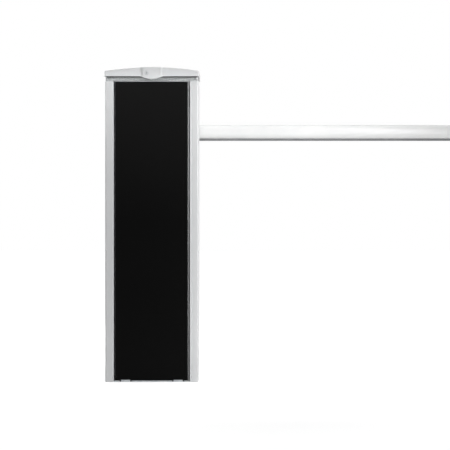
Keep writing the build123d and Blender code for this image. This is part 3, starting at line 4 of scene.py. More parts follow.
import bmesh
import bpy
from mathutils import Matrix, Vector


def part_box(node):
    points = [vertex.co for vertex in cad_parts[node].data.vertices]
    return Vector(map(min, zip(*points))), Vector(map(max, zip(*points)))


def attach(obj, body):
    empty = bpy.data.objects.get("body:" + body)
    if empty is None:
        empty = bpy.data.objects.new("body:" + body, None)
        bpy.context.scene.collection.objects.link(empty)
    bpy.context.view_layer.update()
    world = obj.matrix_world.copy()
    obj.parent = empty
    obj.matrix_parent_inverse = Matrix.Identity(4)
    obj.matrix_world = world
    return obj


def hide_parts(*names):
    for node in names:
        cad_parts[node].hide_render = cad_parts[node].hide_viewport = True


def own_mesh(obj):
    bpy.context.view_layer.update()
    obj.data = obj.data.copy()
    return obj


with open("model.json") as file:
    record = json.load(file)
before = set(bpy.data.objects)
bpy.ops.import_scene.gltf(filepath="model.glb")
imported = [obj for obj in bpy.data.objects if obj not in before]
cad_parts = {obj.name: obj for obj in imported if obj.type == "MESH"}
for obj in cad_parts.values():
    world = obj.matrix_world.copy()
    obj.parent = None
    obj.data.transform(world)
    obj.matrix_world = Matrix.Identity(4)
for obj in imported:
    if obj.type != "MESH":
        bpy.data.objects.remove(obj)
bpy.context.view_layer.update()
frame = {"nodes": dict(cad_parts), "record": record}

# Boom barrier: the finishes of its metal, plastic and rubber pieces, and the pieces whose
# fine shape is modelled here: the ribbed light band with its pillars, the wound balance spring,
# what stands on the circuit board, the transformer, the face of the lock and the boom's bolts.
# All lengths are in metres, X along the boom, Y from the door to the back, Z up.

bpy.ops.object.select_all(action="DESELECT")
MM = 0.001

# Camera
view_width = 1.5435  # metres across the picture at the front of the cabinet
view_distance = 6.0  # from there
view_x = 0.251
view_z = 0.539
sensor_width = 36.0  # in millimetres

# Studio: strengths are shares of white
floor_size = 60
glow_near = (0.4, 0.55)  # distance from the middle of the floor, and how much the floor glows there
glow_far = (4.0, 0.85)
room_light = 0.2  # what reaches the object from all round
room_dark = 0.3  # what gloss sees on the room's dark side
light_side = (0.75, 0.6, 0.2)  # the way to its light side
room_edges = (-0.75, 0.5)  # where, along that way, the dark side ends and the light side begins
lamps = (  # name, place, target, size, power in watts, spread in degrees
    ("key", (0.95, -0.95, 1.1), (0.12, 0, 0.55), (0.25, 1.3), 7.6, 120),
    ("fill", (-0.7, -0.8, 1.5), (-0.12, 0, 1.04), (0.3, 0.3), 0.4, 45),
    ("low", (0.75, -0.85, 0.3), (0.18, -0.11, 0.12), (0.3, 0.3), 0.13, 40),
    ("back", (-0.9, 2.7, 2.1), (0.35, 0, 0.7), (1.6, 1.2), 50, 180),
    ("boom_front", (2.7, -2.6, 2.2), (2.35, 0.17, 0.87), (1.2, 0.5), 6, 40),
    ("boom_back", (2.2, 2.9, 2.2), (2.1, 0.17, 0.87), (1.2, 0.5), 3.5, 50),
    ("top", (0.6, 0.3, 6.5), (0.5, 0, 0), (4.0, 4.0), 78, 180),
    ("high_front", (1.5, -6.0, 4.5), (0, 0.17, 3.2), (0.8, 0.8), 5, 18),
    ("high_back", (-2.5, 6.0, 4.5), (0, 0.17, 3.2), (0.8, 0.8), 3, 18),
)

# Door: the painted sheen on its upper part, and the painted highlight strips on its two bends
painted_sheen_low = 0.55  # height from which the coat is painted lighter, a painted sheen
painted_sheen_high = 1.0  # and from which the painted sheen is full
highlight_shift = 0.8 * MM  # by which both painted highlight strips lie further left, so that the right one is wider
highlight_start = 124.7 * MM  # from the door's middle
highlight_end = 125.3 * MM

# Light band
rib_pitch = 10 * MM
rib_depth = 1.3 * MM
rib_crest = (0.3, 0.7)  # from where to where it reaches, of its pitch
lens_wall = 3 * MM
lens_corner = 7 * MM
corner_steps = 8
pillar_radius = 1.8 * MM
pillar_reach = 110 * MM  # from the middle of the cabinet
pillar_gap = 0.2 * MM  # to the ribs
pillar_draft = 0.85  # of its radius, at the top

# Lid
painted_shade_low = 1050 * MM  # height from which painted shade darkens the lid
painted_shade_high = 1075 * MM  # and to which it gets darker
arch_bend = 0.477  # the arch's drop at a metre from its middle, in metres

# Balance spring
wire_radius = 3.5 * MM
coil_radius = 28 * MM
coil_pitch = 12.3 * MM
coil_turns = 25
coil_steps = 28
wire_sides = 12

# Circuit board and its screws: each top and floor is a height above the board's face
board_thickness = 1.6 * MM
screw_inset = 5 * MM  # from the board's edges
washer_radius = 4 * MM
washer_top = 0.6 * MM
screw_radius = 2.9 * MM
screw_top = 2.6 * MM
recess_reach = 1.7 * MM  # of the cross, from the screw's middle
recess_half = 0.35 * MM  # half the width of its slots
recess_floor = 1.6 * MM
cut_top = 4 * MM  # of the tool that cuts the cross

# Relays and capacitors
row_step = (19.2 * MM, 0, 0)
relay_count = 3
relay_left = 10 * MM  # from the board's left edge
relay_right = 26 * MM
relay_front = 24.5 * MM
relay_back = 44.5 * MM
relay_top = 15 * MM
foot_rim = 0.4 * MM  # of a relay's foot round its case
foot_top = 1.6 * MM
capacitor_count = 2
capacitor_left = 18 * MM  # of its middle, from the board's left edge
capacitor_row = -41.5 * MM
capacitor_radius = 8 * MM
sleeve_top = 26 * MM
cap_radius = 6.3 * MM
cap_top = 25.9 * MM
score_reach = 5 * MM
score_half = 0.3 * MM  # half its width

# Chips: middle and size of each, and their legs
processor = ((-20 * MM, -20 * MM), (14 * MM, 14 * MM))
small_chips = [((x * MM, 34 * MM), (8 * MM, 5 * MM)) for x in (-38, -24, -10, 4)]
chip_foot = 0.3 * MM
chip_top = 2.2 * MM
chip_taper = (0.95, 0.93, 1)  # of its sides, at the top
dot_inset = 1.4 * MM  # from the left and the back side
dot_radius = 0.45 * MM
dot_foot = 1.9 * MM
dot_top = 2.35 * MM
leg_pitch = 1.27 * MM
leg_size = (0.45 * MM, 1.4 * MM, 0.9 * MM)
leg_start = 0.8 * MM  # of the first leg, from the chip's corner
leg_out = 0.7 * MM  # of a leg's middle, from the chip's side
leg_slant = 0.5 * MM  # by which its top leans to the chip

# Small resistors: front left one, and the number and step of columns and rows
resistor_low = (-4 * MM, -42 * MM)
resistor_high = (-2 * MM, -40.8 * MM)
resistor_top = 0.7 * MM
resistor_columns = (9, (3.6 * MM, 0, 0))
resistor_rows = (3, (0, 5.2 * MM, 0))

# Display, and the two push buttons with their round caps
display_low = (2 * MM, -12 * MM)
display_high = (27 * MM, 6 * MM)
display_top = 8 * MM
button_columns = (6 * MM, 16 * MM)
button_row = 15 * MM
button_half = 3 * MM
button_top = 3.6 * MM
push_radius = 1.75 * MM
push_foot = 3.4 * MM
push_top = 6 * MM

# Transformer
core_front = -31.5 * MM
core_back = 18.5 * MM
core_limb = 14 * MM  # from the core's side to its window
core_yoke = 7 * MM  # and from its top and foot
clamp_front = -14 * MM
clamp_back = 1 * MM
clamp_wall = 1.2 * MM
coil_gap = 0.6 * MM  # to the core
coil_inset = 2 * MM  # from the bobbin's ends
bobbin_gap = 0.2 * MM  # to the core
bobbin_flange = 1.6 * MM

# Lock: its keyway, and the notch for a key's rib in it
keyway_depth = 8 * MM
keyway_cuts = (  # left, right, foot and head of each, from the middle
    (-1.5 * MM, 1.5 * MM, -4.9 * MM, 4.9 * MM),
    (0, 2 * MM, -1.5 * MM, -0.3 * MM),
)

# Bolts
head_share = 1.75  # of a bolt's radius
washer_share = 0.95  # of its head's radius
washer_reach = (-0.1 * MM, 0.6 * MM)  # foot and top, from the head's foot
blank_share = 1.05  # the round blank that turns a hexagon's corners off, of the hexagon's radius
chamfer_share = 0.18  # of that radius
thread_share = 0.55  # a thread's depth, of its pitch
thread_steps = 20

# Bolts of the boom: radius, height of the head, length, length of the thread, pitch
cover_bolt = (4 * MM, 5.2 * MM, 16.7 * MM, 9 * MM, 1.25 * MM)
cover_nut = (7 * MM, 0, 5.2 * MM)  # radius, foot, top
hub_bolt = (3 * MM, 3.9 * MM, 22 * MM, 9 * MM, 1 * MM)
cover_columns = (-57 * MM, 107 * MM)
cover_rows = (917.85 * MM, 828.25 * MM)
holder_flange = 5 * MM
hub_columns = (-28.28 * MM, 28.28 * MM)
hub_rows = (841.76 * MM, 898.33 * MM)
hub_face = 136 * MM
to_back = (-math.pi / 2, 0, 0)  # turns a standing bolt to the back
to_front = (math.pi / 2, 0, 0)


def linear(code):
    """The linear colour, with alpha, of an sRGB hex value."""
    shares = [int(code[i:i + 2], 16) / 255 for i in (1, 3, 5)]
    return tuple(((s + 0.055) / 1.055) ** 2.4 if s > 0.04045 else s / 12.92 for s in shares) + (1.0,)


def per(millimetres):
    """How often a pattern of that real size repeats in a metre."""
    return 1000.0 / millimetres


def node(owner, kind, settings, links=None):
    """Adds a node to a material or world, with its settings, and links its inputs to other nodes."""
    tree = owner.node_tree
    made = tree.nodes.new("ShaderNode" + kind)
    for name, value in settings.items():
        if name == "stops":
            ramp = made.color_ramp.elements
            for i, (place, code) in enumerate(value):
                stop = ramp[i] if i < len(ramp) else ramp.new(place)
                stop.position, stop.color = place, linear(code)
        elif isinstance(name, int) or name in made.inputs:
            made.inputs[name].default_value = value
        else:
            setattr(made, name, value)
    for name, source in (links or {}).items():
        source, output = source if isinstance(source, tuple) else (source, 0)
        tree.links.new(source.outputs[output], made.inputs[name])
    return made


def finish(name):
    """A new material with nothing in it, and the node of the object's own coordinates."""
    made = bpy.data.materials.new(name)
    made.use_nodes = True
    made.node_tree.nodes.clear()
    return made, (node(made, "TexCoord", {}), "Object")


def surface(made, settings, links):
    """Ends a material with its shader and output."""
    shader = node(made, "BsdfPrincipled", settings, links)
    node(made, "OutputMaterial", {}, {"Surface": shader})
    return made


def anodised_aluminium():
    """Extruded aluminium, satin anodised: pale grey, faint lines along the extrusion."""
    made, place = finish("anodised_aluminium")
    stretched = node(made, "Mapping", {"Scale": (1.0, 1.0, 0.004)}, {"Vector": place})
    # Die lines are 0.2 mm wide and are drawn 2 mm wide, so that they show, and half a metre long.
    lines = node(made, "TexNoise", {"Scale": per(2.0), "Detail": 3.0}, {"Vector": stretched})
    cloud = node(made, "TexNoise", {"Scale": per(160.0), "Detail": 2.0}, {"Vector": place})
    both = node(made, "Mix", {"Factor": 0.45}, {"A": lines, "B": cloud})
    tone = node(made, "ValToRGB", {"stops": ((0.3, "#CDCECF"), (0.7, "#D4D5D6"))}, {"Fac": both})
    shine = node(made, "MapRange", {"To Min": 0.40, "To Max": 0.52}, {"Value": both})
    relief = node(made, "Bump", {"Strength": 0.25, "Distance": 0.02 * MM}, {"Height": lines})
    return surface(made, {"Metallic": 0.25}, {
        "Base Color": tone, "Roughness": shine, "Normal": relief})


def black_powder_coat():
    """Polyester powder coat, satin black: almost no gloss on the flat, a painted sheen towards the top, and
    painted highlight strips of bare metal on the bends.
    """
    made, place = finish("black_powder_coat")
    # The peel of the coat is 0.8 mm wide and is drawn 3 mm wide, so that it shows.
    peel = node(made, "TexNoise", {"Scale": per(3.0), "Detail": 3.0}, {"Vector": place})
    cloud = node(made, "TexNoise", {"Scale": per(220.0), "Detail": 1.0}, {"Vector": place})
    both = node(made, "Mix", {"Factor": 0.5}, {"A": peel, "B": cloud})
    coat = node(made, "ValToRGB", {"stops": ((0.3, "#040404"), (0.7, "#070707"))}, {"Fac": both})
    # Towards its top the coat is painted lighter: a painted sheen.
    point = node(made, "SeparateXYZ", {}, {"Vector": place})
    painted_sheen = node(made, "MapRange", {"From Min": painted_sheen_low, "From Max": painted_sheen_high},
                 {"Value": (point, "Z")})
    with_painted_sheen = node(made, "Mix", {"data_type": "RGBA", 7: linear("#131313")}, {0: painted_sheen, 6: coat})
    # On the two long bends a strip of bare metal is drawn, which is also a painted highlight, wider on the
    # right.
    moved = node(made, "Math", {"operation": "ADD", 1: highlight_shift}, {0: (point, "X")})
    side = node(made, "Math", {"operation": "ABSOLUTE"}, {0: moved})
    bend_highlight = node(made, "MapRange", {"From Min": highlight_start, "From Max": highlight_end}, {"Value": side})
    tone = node(made, "Mix", {"data_type": "RGBA", 7: linear("#8A8B8C")}, {0: bend_highlight, 6: (with_painted_sheen, 2)})
    metal_highlight = node(made, "MapRange", {"To Max": 0.9}, {"Value": bend_highlight})
    shine = node(made, "MapRange", {"To Min": 0.34, "To Max": 0.44}, {"Value": both})
    relief = node(made, "Bump", {"Strength": 0.2, "Distance": 0.03 * MM}, {"Height": peel})
    return surface(made, {"IOR": 1.5, "Specular IOR Level": 0.05}, {
        "Base Color": (tone, 2), "Metallic": metal_highlight, "Roughness": shine, "Normal": relief})


def grey_powder_coat():
    """Polyester powder coat on the back sheet: light grey, with an even fine peel."""
    made, place = finish("grey_powder_coat")
    # The peel of the coat is 0.8 mm wide and is drawn 2.5 mm wide, so that it shows.
    peel = node(made, "TexNoise", {"Scale": per(2.5), "Detail": 3.0}, {"Vector": place})
    tone_mask = node(made, "TexNoise", {"Scale": per(180.0), "Detail": 3.0}, {"Vector": place})
    tone = node(made, "ValToRGB", {"stops": ((0.35, "#BFC1C2"), (0.7, "#C8CACB"))}, {"Fac": tone_mask})
    shine = node(made, "MapRange", {"To Min": 0.42, "To Max": 0.55}, {"Value": tone_mask})
    relief = node(made, "Bump", {"Strength": 0.3, "Distance": 0.04 * MM}, {"Height": peel})
    return surface(made, {"IOR": 1.5}, {"Base Color": tone, "Roughness": shine, "Normal": relief})


def white_powder_coat():
    """Glossy white powder coat on the boom: a slight peel and a little road dust."""
    made, place = finish("white_powder_coat")
    # The peel of the coat is 0.8 mm wide and is drawn 3 mm wide, so that it shows.
    peel = node(made, "TexNoise", {"Scale": per(3.0), "Detail": 2.0}, {"Vector": place})
    tone_mask = node(made, "TexNoise", {"Scale": per(90.0), "Detail": 4.0}, {"Vector": place})
    tone = node(made, "ValToRGB", {"stops": ((0.3, "#EDEEEE"), (0.7, "#F3F3F2"))}, {"Fac": tone_mask})
    shine = node(made, "MapRange", {"To Min": 0.25, "To Max": 0.36}, {"Value": tone_mask})
    relief = node(made, "Bump", {"Strength": 0.25, "Distance": 0.02 * MM}, {"Height": peel})
    return surface(made, {"IOR": 1.5}, {"Base Color": tone, "Roughness": shine, "Normal": relief})


def zinc_plate():
    """Bright zinc plating on steel: cool grey, cloudy, with fine grain."""
    made, place = finish("zinc_plate")
    cloud = node(made, "TexNoise", {"Scale": per(22.0), "Detail": 5.0}, {"Vector": place})
    grain = node(made, "TexNoise", {"Scale": per(0.9), "Detail": 2.0}, {"Vector": place})
    tone = node(made, "ValToRGB", {"stops": ((0.3, "#AEB3B8"), (0.55, "#C3C7CA"), (0.75, "#CFCFC8"))},
                {"Fac": cloud})
    shine = node(made, "MapRange", {"To Min": 0.26, "To Max": 0.46}, {"Value": cloud})
    relief = node(made, "Bump", {"Strength": 0.2, "Distance": 0.01 * MM}, {"Height": grain})
    return surface(made, {"Metallic": 1.0}, {"Base Color": tone, "Roughness": shine, "Normal": relief})


def turned_steel():
    """Turned and milled steel, lightly oiled: tool marks and small brown stains."""
    made, place = finish("turned_steel")
    marks = node(made, "TexNoise", {"Scale": per(0.7), "Detail": 2.0, "Distortion": 0.4}, {"Vector": place})
    stain = node(made, "TexNoise", {"Scale": per(14.0), "Detail": 6.0}, {"Vector": place})
    tone = node(made, "ValToRGB", {"stops": ((0.3, "#8F8C87"), (0.5, "#A9AAAB"), (0.8, "#B9BBBD"))},
                {"Fac": stain})
    shine = node(made, "MapRange", {"To Min": 0.22, "To Max": 0.4}, {"Value": stain})
    relief = node(made, "Bump", {"Strength": 0.3, "Distance": 0.01 * MM}, {"Height": marks})
    return surface(made, {"Metallic": 1.0}, {"Base Color": tone, "Roughness": shine, "Normal": relief})


def phosphated_steel():
    """Forged steel, phosphated dark: matt grey-black with a coarse skin."""
    made, place = finish("phosphated_steel")
    skin = node(made, "TexNoise", {"Scale": per(1.6), "Detail": 4.0}, {"Vector": place})
    cloud = node(made, "TexNoise", {"Scale": per(30.0), "Detail": 3.0}, {"Vector": place})
    tone = node(made, "ValToRGB", {"stops": ((0.3, "#2A2C2E"), (0.7, "#3C3F41"))}, {"Fac": cloud})
    shine = node(made, "MapRange", {"To Min": 0.45, "To Max": 0.65}, {"Value": skin})
    relief = node(made, "Bump", {"Strength": 0.5, "Distance": 0.06 * MM}, {"Height": skin})
    return surface(made, {"Metallic": 0.6}, {"Base Color": tone, "Roughness": shine, "Normal": relief})


def spring_wire():
    """Hardened spring wire, dip coated black: a thin gloss with rubbed places."""
    made, place = finish("spring_wire")
    rubbed = node(made, "TexNoise", {"Scale": per(9.0), "Detail": 5.0}, {"Vector": place})
    tone = node(made, "ValToRGB", {"stops": ((0.45, "#161617"), (0.72, "#2C2C2D"))}, {"Fac": rubbed})
    shine = node(made, "MapRange", {"To Min": 0.28, "To Max": 0.5}, {"Value": rubbed})
    relief = node(made, "Bump", {"Strength": 0.2, "Distance": 0.02 * MM}, {"Height": rubbed})
    return surface(made, {"IOR": 1.5}, {"Base Color": tone, "Roughness": shine, "Normal": relief})


def cast_aluminium():
    """Sand-cast aluminium, blasted: bright grey with an open grain."""
    made, place = finish("cast_aluminium")
    sand = node(made, "TexNoise", {"Scale": per(1.1), "Detail": 3.0}, {"Vector": place})
    cloud = node(made, "TexNoise", {"Scale": per(35.0), "Detail": 3.0}, {"Vector": place})
    tone = node(made, "ValToRGB", {"stops": ((0.3, "#AFB1B2"), (0.7, "#B8BABB"))}, {"Fac": cloud})
    shine = node(made, "MapRange", {"To Min": 0.45, "To Max": 0.62}, {"Value": sand})
    relief = node(made, "Bump", {"Strength": 0.6, "Distance": 0.08 * MM}, {"Height": sand})
    return surface(made, {"Metallic": 1.0}, {"Base Color": tone, "Roughness": shine, "Normal": relief})


def moulded_skin(made, place):
    """The fine spark-eroded grain of moulded plastic, and the same with wide faint clouds in it."""
    # The grain is 0.4 mm wide and is drawn 1.5 mm wide, so that it shows.
    grain = node(made, "TexNoise", {"Scale": per(1.5), "Detail": 3.0}, {"Vector": place})
    cloud = node(made, "TexNoise", {"Scale": per(120.0), "Detail": 3.0}, {"Vector": place})
    return grain, node(made, "Mix", {"Factor": 0.6}, {"A": grain, "B": cloud})


def moulded_plastic(name, dark, light, roughness, grain_depth):
    """Injection-moulded plastic in its own colour: an even satin with a fine grain."""
    made, place = finish(name)
    grain, both = moulded_skin(made, place)
    tone = node(made, "ValToRGB", {"stops": ((0.3, dark), (0.7, light))}, {"Fac": both})
    shine = node(made, "MapRange", {"To Min": roughness - 0.06, "To Max": roughness + 0.06},
                 {"Value": grain})
    relief = node(made, "Bump", {"Strength": 0.4, "Distance": grain_depth}, {"Height": grain})
    return surface(made, {"IOR": 1.53}, {"Base Color": tone, "Roughness": shine, "Normal": relief})


def light_grey_asa():
    """Injection-moulded ASA of the lid: fine spark-eroded grain, with painted shade that darkens it towards
    the top, so the rim looks lit.
    """
    made, place = finish("light_grey_asa")
    grain, both = moulded_skin(made, place)
    # Lit and shaded tones of one plastic: the paler one low on the lid, the darker one above, as painted
    # shade.
    lit_tone = node(made, "ValToRGB", {"stops": ((0.3, "#D5D6D7"), (0.7, "#DDDEDF"))}, {"Fac": both})
    shaded_tone = node(made, "ValToRGB", {"stops": ((0.3, "#C5C6C7"), (0.7, "#CDCECF"))}, {"Fac": both})
    # The painted shade follows the arch, so its edge drops towards the ends as the crown does.
    point = node(made, "SeparateXYZ", {}, {"Vector": place})
    square = node(made, "Math", {"operation": "MULTIPLY"}, {0: (point, "X"), 1: (point, "X")})
    level = node(made, "Math", {"operation": "MULTIPLY_ADD", 1: arch_bend}, {0: square, 2: (point, "Z")})
    tone_mask = node(made, "MapRange", {"From Min": painted_shade_low, "From Max": painted_shade_high}, {"Value": level})
    tone = node(made, "Mix", {"data_type": "RGBA"}, {0: tone_mask, 6: lit_tone, 7: shaded_tone})
    shine = node(made, "MapRange", {"To Min": 0.36, "To Max": 0.48}, {"Value": grain})
    relief = node(made, "Bump", {"Strength": 0.4, "Distance": 0.05 * MM}, {"Height": grain})
    return surface(made, {"IOR": 1.53}, {"Base Color": (tone, 2), "Roughness": shine, "Normal": relief})


def clear_polycarbonate():
    """Clear polycarbonate of the light band: slightly smoky, with flow marks."""
    made, place = finish("clear_polycarbonate")
    flow = node(made, "TexNoise", {"Scale": per(9.0), "Detail": 3.0, "Distortion": 0.8}, {"Vector": place})
    tone = node(made, "ValToRGB", {"stops": ((0.3, "#E0E3E4"), (0.7, "#EEF0F0"))}, {"Fac": flow})
    shine = node(made, "MapRange", {"To Min": 0.14, "To Max": 0.26}, {"Value": flow})
    relief = node(made, "Bump", {"Strength": 0.3, "Distance": 0.04 * MM}, {"Height": flow})
    return surface(made, {"IOR": 1.58, "Transmission Weight": 0.85}, {
        "Base Color": tone, "Roughness": shine, "Normal": relief})


def rubber(name, dark, light):
    """Extruded rubber: matt, with a dry bloom."""
    made, place = finish(name)
    bloom = node(made, "TexNoise", {"Scale": per(18.0), "Detail": 6.0}, {"Vector": place})
    skin = node(made, "TexNoise", {"Scale": per(1.2), "Detail": 2.0}, {"Vector": place})
    tone = node(made, "ValToRGB", {"stops": ((0.35, dark), (0.75, light))}, {"Fac": bloom})
    shine = node(made, "MapRange", {"To Min": 0.6, "To Max": 0.8}, {"Value": bloom})
    relief = node(made, "Bump", {"Strength": 0.3, "Distance": 0.04 * MM}, {"Height": skin})
    return surface(made, {"IOR": 1.52}, {"Base Color": tone, "Roughness": shine, "Normal": relief})


def solder_resist():
    """Green solder resist over copper tracks: glossy, with the tracks showing through."""
    made, place = finish("solder_resist")
    # The tracks are about 1 mm apart and are drawn 4 mm apart, so that they show.
    tracks = node(made, "TexBrick", {
        "Scale": per(8.0), "Mortar Size": 0.06, "Brick Width": 1.7, "Row Height": 0.5,
        "Color1": linear("#0E4A26"), "Color2": linear("#0C4422"), "Mortar": linear("#1C6B3A")},
        {"Vector": place})
    cloud = node(made, "TexNoise", {"Scale": per(6.0)}, {"Vector": place})
    shine = node(made, "MapRange", {"To Min": 0.2, "To Max": 0.32}, {"Value": cloud})
    relief = node(made, "Bump", {"Strength": 0.3, "Distance": 0.03 * MM}, {"Height": (tracks, 1)})
    return surface(made, {"IOR": 1.5}, {
        "Base Color": (tracks, 0), "Roughness": shine, "Normal": relief})


def laminated_iron():
    """Varnished transformer sheets: thin edges side by side, brown-black."""
    made, place = finish("laminated_iron")
    # The sheets are 0.5 mm thick and are drawn 1 mm thick, so that they show.
    sheets = node(made, "TexWave", {"Scale": per(1.0) / math.tau, "bands_direction": "Y",
                                    "Distortion": 0.3}, {"Vector": place})
    tone = node(made, "ValToRGB", {"stops": ((0.2, "#191715"), (0.8, "#3B3632"))}, {"Fac": (sheets, 1)})
    relief = node(made, "Bump", {"Strength": 0.4, "Distance": 0.05 * MM}, {"Height": (sheets, 1)})
    return surface(made, {"Metallic": 0.5, "Roughness": 0.45}, {"Base Color": tone, "Normal": relief})


finishes = {
    "profile_coat": anodised_aluminium(),
    "door_coat": black_powder_coat(),
    "rear_coat": grey_powder_coat(),
    "zinc_steel": zinc_plate(),
    "machined_steel": turned_steel(),
    "forged_steel": phosphated_steel(),
    "spring_steel": spring_wire(),
    "cast_aluminium": cast_aluminium(),
    "white_coat": white_powder_coat(),
    "lid_plastic": light_grey_asa(),
    "head_plastic": moulded_plastic("grey_polyamide", "#B9BBBD", "#C3C5C7", 0.5, 0.05 * MM),
    "clear_plastic": clear_polycarbonate(),
    "black_rubber": rubber("black_epdm", "#141414", "#1E1E1E"),
    "grey_rubber": rubber("grey_epdm", "#77797B", "#828485"),
    "black_plastic": moulded_plastic("black_abs", "#131314", "#1B1B1C", 0.45, 0.05 * MM),
    "grey_cap": moulded_plastic("pale_grey_polyamide", "#C4C6C7", "#CDCFD0", 0.38, 0.03 * MM),
    "green_board": solder_resist(),
    "green_terminal": moulded_plastic("green_polyamide", "#1E7A3C", "#258A45", 0.4, 0.03 * MM),
    "transformer_iron": laminated_iron(),
    "red_plastic": moulded_plastic("red_polyamide", "#A81C12", "#BA2418", 0.38, 0.04 * MM),
}


def dress_frame():
    """Gives each carried-over node the finish of its slot."""
    for part in frame["record"]["subparts"]:
        frame["nodes"][part["node"]].data.materials[0] = finishes[part["material_slot"]]


def select(piece, test, mode="FACE"):
    """In edit mode, selects faces or vertices by a test of place and normal, or edges by place and way."""
    bpy.ops.mesh.select_mode(type=mode)
    mesh = bmesh.from_edit_mesh(piece.data)
    bpy.ops.mesh.select_all(action="DESELECT")
    for item in {"FACE": mesh.faces, "EDGE": mesh.edges, "VERT": mesh.verts}[mode]:
        if mode == "FACE":
            chosen = test(item.calc_center_median(), item.normal)
        elif mode == "EDGE":
            ends = [v.co for v in item.verts]
            chosen = test((ends[0] + ends[1]) / 2, ends[1] - ends[0])
        else:
            chosen = test(item.co, item.normal)
        item.select_set(bool(chosen))
    mesh.select_flush_mode()
    bmesh.update_edit_mesh(piece.data)


def only(piece):
    """Makes the piece the one that is selected and active."""
    bpy.ops.object.select_all(action="DESELECT")
    piece.select_set(True)
    bpy.context.view_layer.objects.active = piece


def settle(piece, name, slot_name, body, angle=math.radians(35)):
    """Names the piece, applies its place, smooths it, gives it its finish and puts it on its body."""
    only(piece)
    piece.name = name
    piece.data.name = name
    bpy.ops.object.transform_apply(location=True, rotation=True, scale=True)
    bpy.ops.object.shade_smooth_by_angle(angle=angle)
    piece.data.materials.clear()
    piece.data.materials.append(finishes[slot_name])
    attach(piece, body)
    return piece


def applied(piece, kind, **settings):
    """Adds a modifier with its settings and applies it."""
    only(piece)
    modifier = piece.modifiers.new(kind.title(), kind)
    for name, value in settings.items():
        setattr(modifier, name, value)
    bpy.ops.object.modifier_apply(modifier=modifier.name)


def cut(piece, tool, operation="DIFFERENCE"):
    """Cuts a piece with a tool, or keeps what lies in both, and removes the tool."""
    applied(piece, "BOOLEAN", object=tool, operation=operation, solver="EXACT")
    bpy.data.objects.remove(tool)


def joined(pieces):
    """One piece made of several."""
    only(pieces[0])
    for piece in pieces:
        piece.select_set(True)
    bpy.ops.object.join()
    return bpy.context.view_layer.objects.active


def lens_wall_row(length, height):
    """A straight wall of the band, ribbed on its inside, along X, with its outer face on Y zero."""
    count = round(length / rib_pitch)
    pitch = length / count
    bpy.ops.mesh.primitive_cube_add(size=1, location=(pitch / 2, lens_wall / 2, height / 2))
    wall = bpy.context.object
    wall.scale = (pitch, lens_wall, height)
    bpy.ops.object.transform_apply(location=True, rotation=False, scale=True)
    bpy.ops.object.mode_set(mode="EDIT")
    select(wall, lambda place, normal: abs(normal.x) > 0.9)
    bpy.ops.mesh.delete(type="FACE")
    # Two lines across the inner face become the crest of a rib, so the ends of the pitch stay low.
    for share in rib_crest:
        bpy.ops.mesh.select_all(action="SELECT")
        bpy.ops.mesh.bisect(plane_co=(pitch * share, 0, 0), plane_no=(1, 0, 0))
    margin = pitch / 10
    select(wall, lambda place, normal: (
        margin < place.x < pitch - margin and place.y > lens_wall / 2), "VERT")
    bpy.ops.transform.translate(value=(0, rib_depth, 0))
    bpy.ops.object.mode_set(mode="OBJECT")
    applied(wall, "ARRAY", count=count, use_merge_vertices=True, merge_threshold=0.01 * MM)
    return wall


def lens_corner_turn(height):
    """A quarter turn of the band's plain wall round the origin, from -Y to +X."""
    bpy.ops.mesh.primitive_plane_add(size=1, location=(0, -lens_corner + lens_wall / 2, height / 2),
                                     rotation=(0, math.pi / 2, 0))
    turn = bpy.context.object
    turn.scale = (height, lens_wall, 1)
    bpy.ops.object.transform_apply(location=True, rotation=True, scale=True)
    bpy.ops.object.mode_set(mode="EDIT")
    bpy.ops.mesh.select_all(action="SELECT")
    bpy.ops.mesh.spin(steps=corner_steps, angle=-math.pi / 2, center=(0, 0, 0), axis=(0, 0, 1))
    bpy.ops.object.mode_set(mode="OBJECT")
    return turn


def placed_copy(piece, turn, place):
    """A copy of a piece, with its own mesh, turned about Z and moved."""
    return turned(own_copy(piece), (0, 0, turn), place)


def light_band():
    """The clear band under the lid: four ribbed walls and four plain corners in one ring."""
    low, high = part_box("light_lens")
    height = high.z - low.z
    rows = {
        "X": lens_wall_row(high.x - low.x - 2 * lens_corner, height),
        "Y": lens_wall_row(high.y - low.y - 2 * lens_corner, height),
    }
    corner = lens_corner_turn(height)
    pieces = []
    quarter = math.pi / 2
    starts = (
        ("X", 0, (low.x + lens_corner, low.y, low.z)),
        ("Y", quarter, (high.x, low.y + lens_corner, low.z)),
        ("X", 2 * quarter, (high.x - lens_corner, high.y, low.z)),
        ("Y", 3 * quarter, (low.x, high.y - lens_corner, low.z)),
    )
    for row, turn, place in starts:
        pieces.append(placed_copy(rows[row], turn, place))
    corners = ((high.x, low.y), (high.x, high.y), (low.x, high.y), (low.x, low.y))
    for step, (x, y) in enumerate(corners):
        inward = (x - math.copysign(lens_corner, x), y - math.copysign(lens_corner, y), low.z)
        pieces.append(placed_copy(corner, step * quarter, inward))
    for spare in (*rows.values(), corner):
        bpy.data.objects.remove(spare)
    ring = joined(pieces)
    bpy.ops.object.mode_set(mode="EDIT")
    bpy.ops.mesh.select_all(action="SELECT")
    bpy.ops.mesh.remove_doubles(threshold=0.05 * MM)
    bpy.ops.mesh.delete_loose()
    bpy.ops.mesh.select_all(action="SELECT")
    bpy.ops.mesh.normals_make_consistent(inside=False)
    bpy.ops.object.mode_set(mode="OBJECT")
    settle(ring, "ribbed_light_band", "clear_plastic", "cabinet", math.radians(20))
    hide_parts("light_lens")


def band_pillars():
    """The slim moulded pillars behind the band, near its ends, that hold it between head and seal."""
    low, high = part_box("light_lens")
    inward = lens_wall + rib_depth + pillar_gap + pillar_radius
    pillars = []
    for x in (-pillar_reach, pillar_reach):
        for y in (low.y + inward, high.y - inward):
            pillar = round_bar((x, y), pillar_radius, low.z, high.z, 24)
            draft = {"value": (pillar_draft, pillar_draft, 1), "center_override": (x, y, high.z)}
            shaped(pillar, top_face, [(bpy.ops.transform.resize, draft)])
            pillars.append(rounded(pillar, 0.3 * MM, 2))
    settle(joined(pillars), "band_pillars", "lid_plastic", "cabinet")


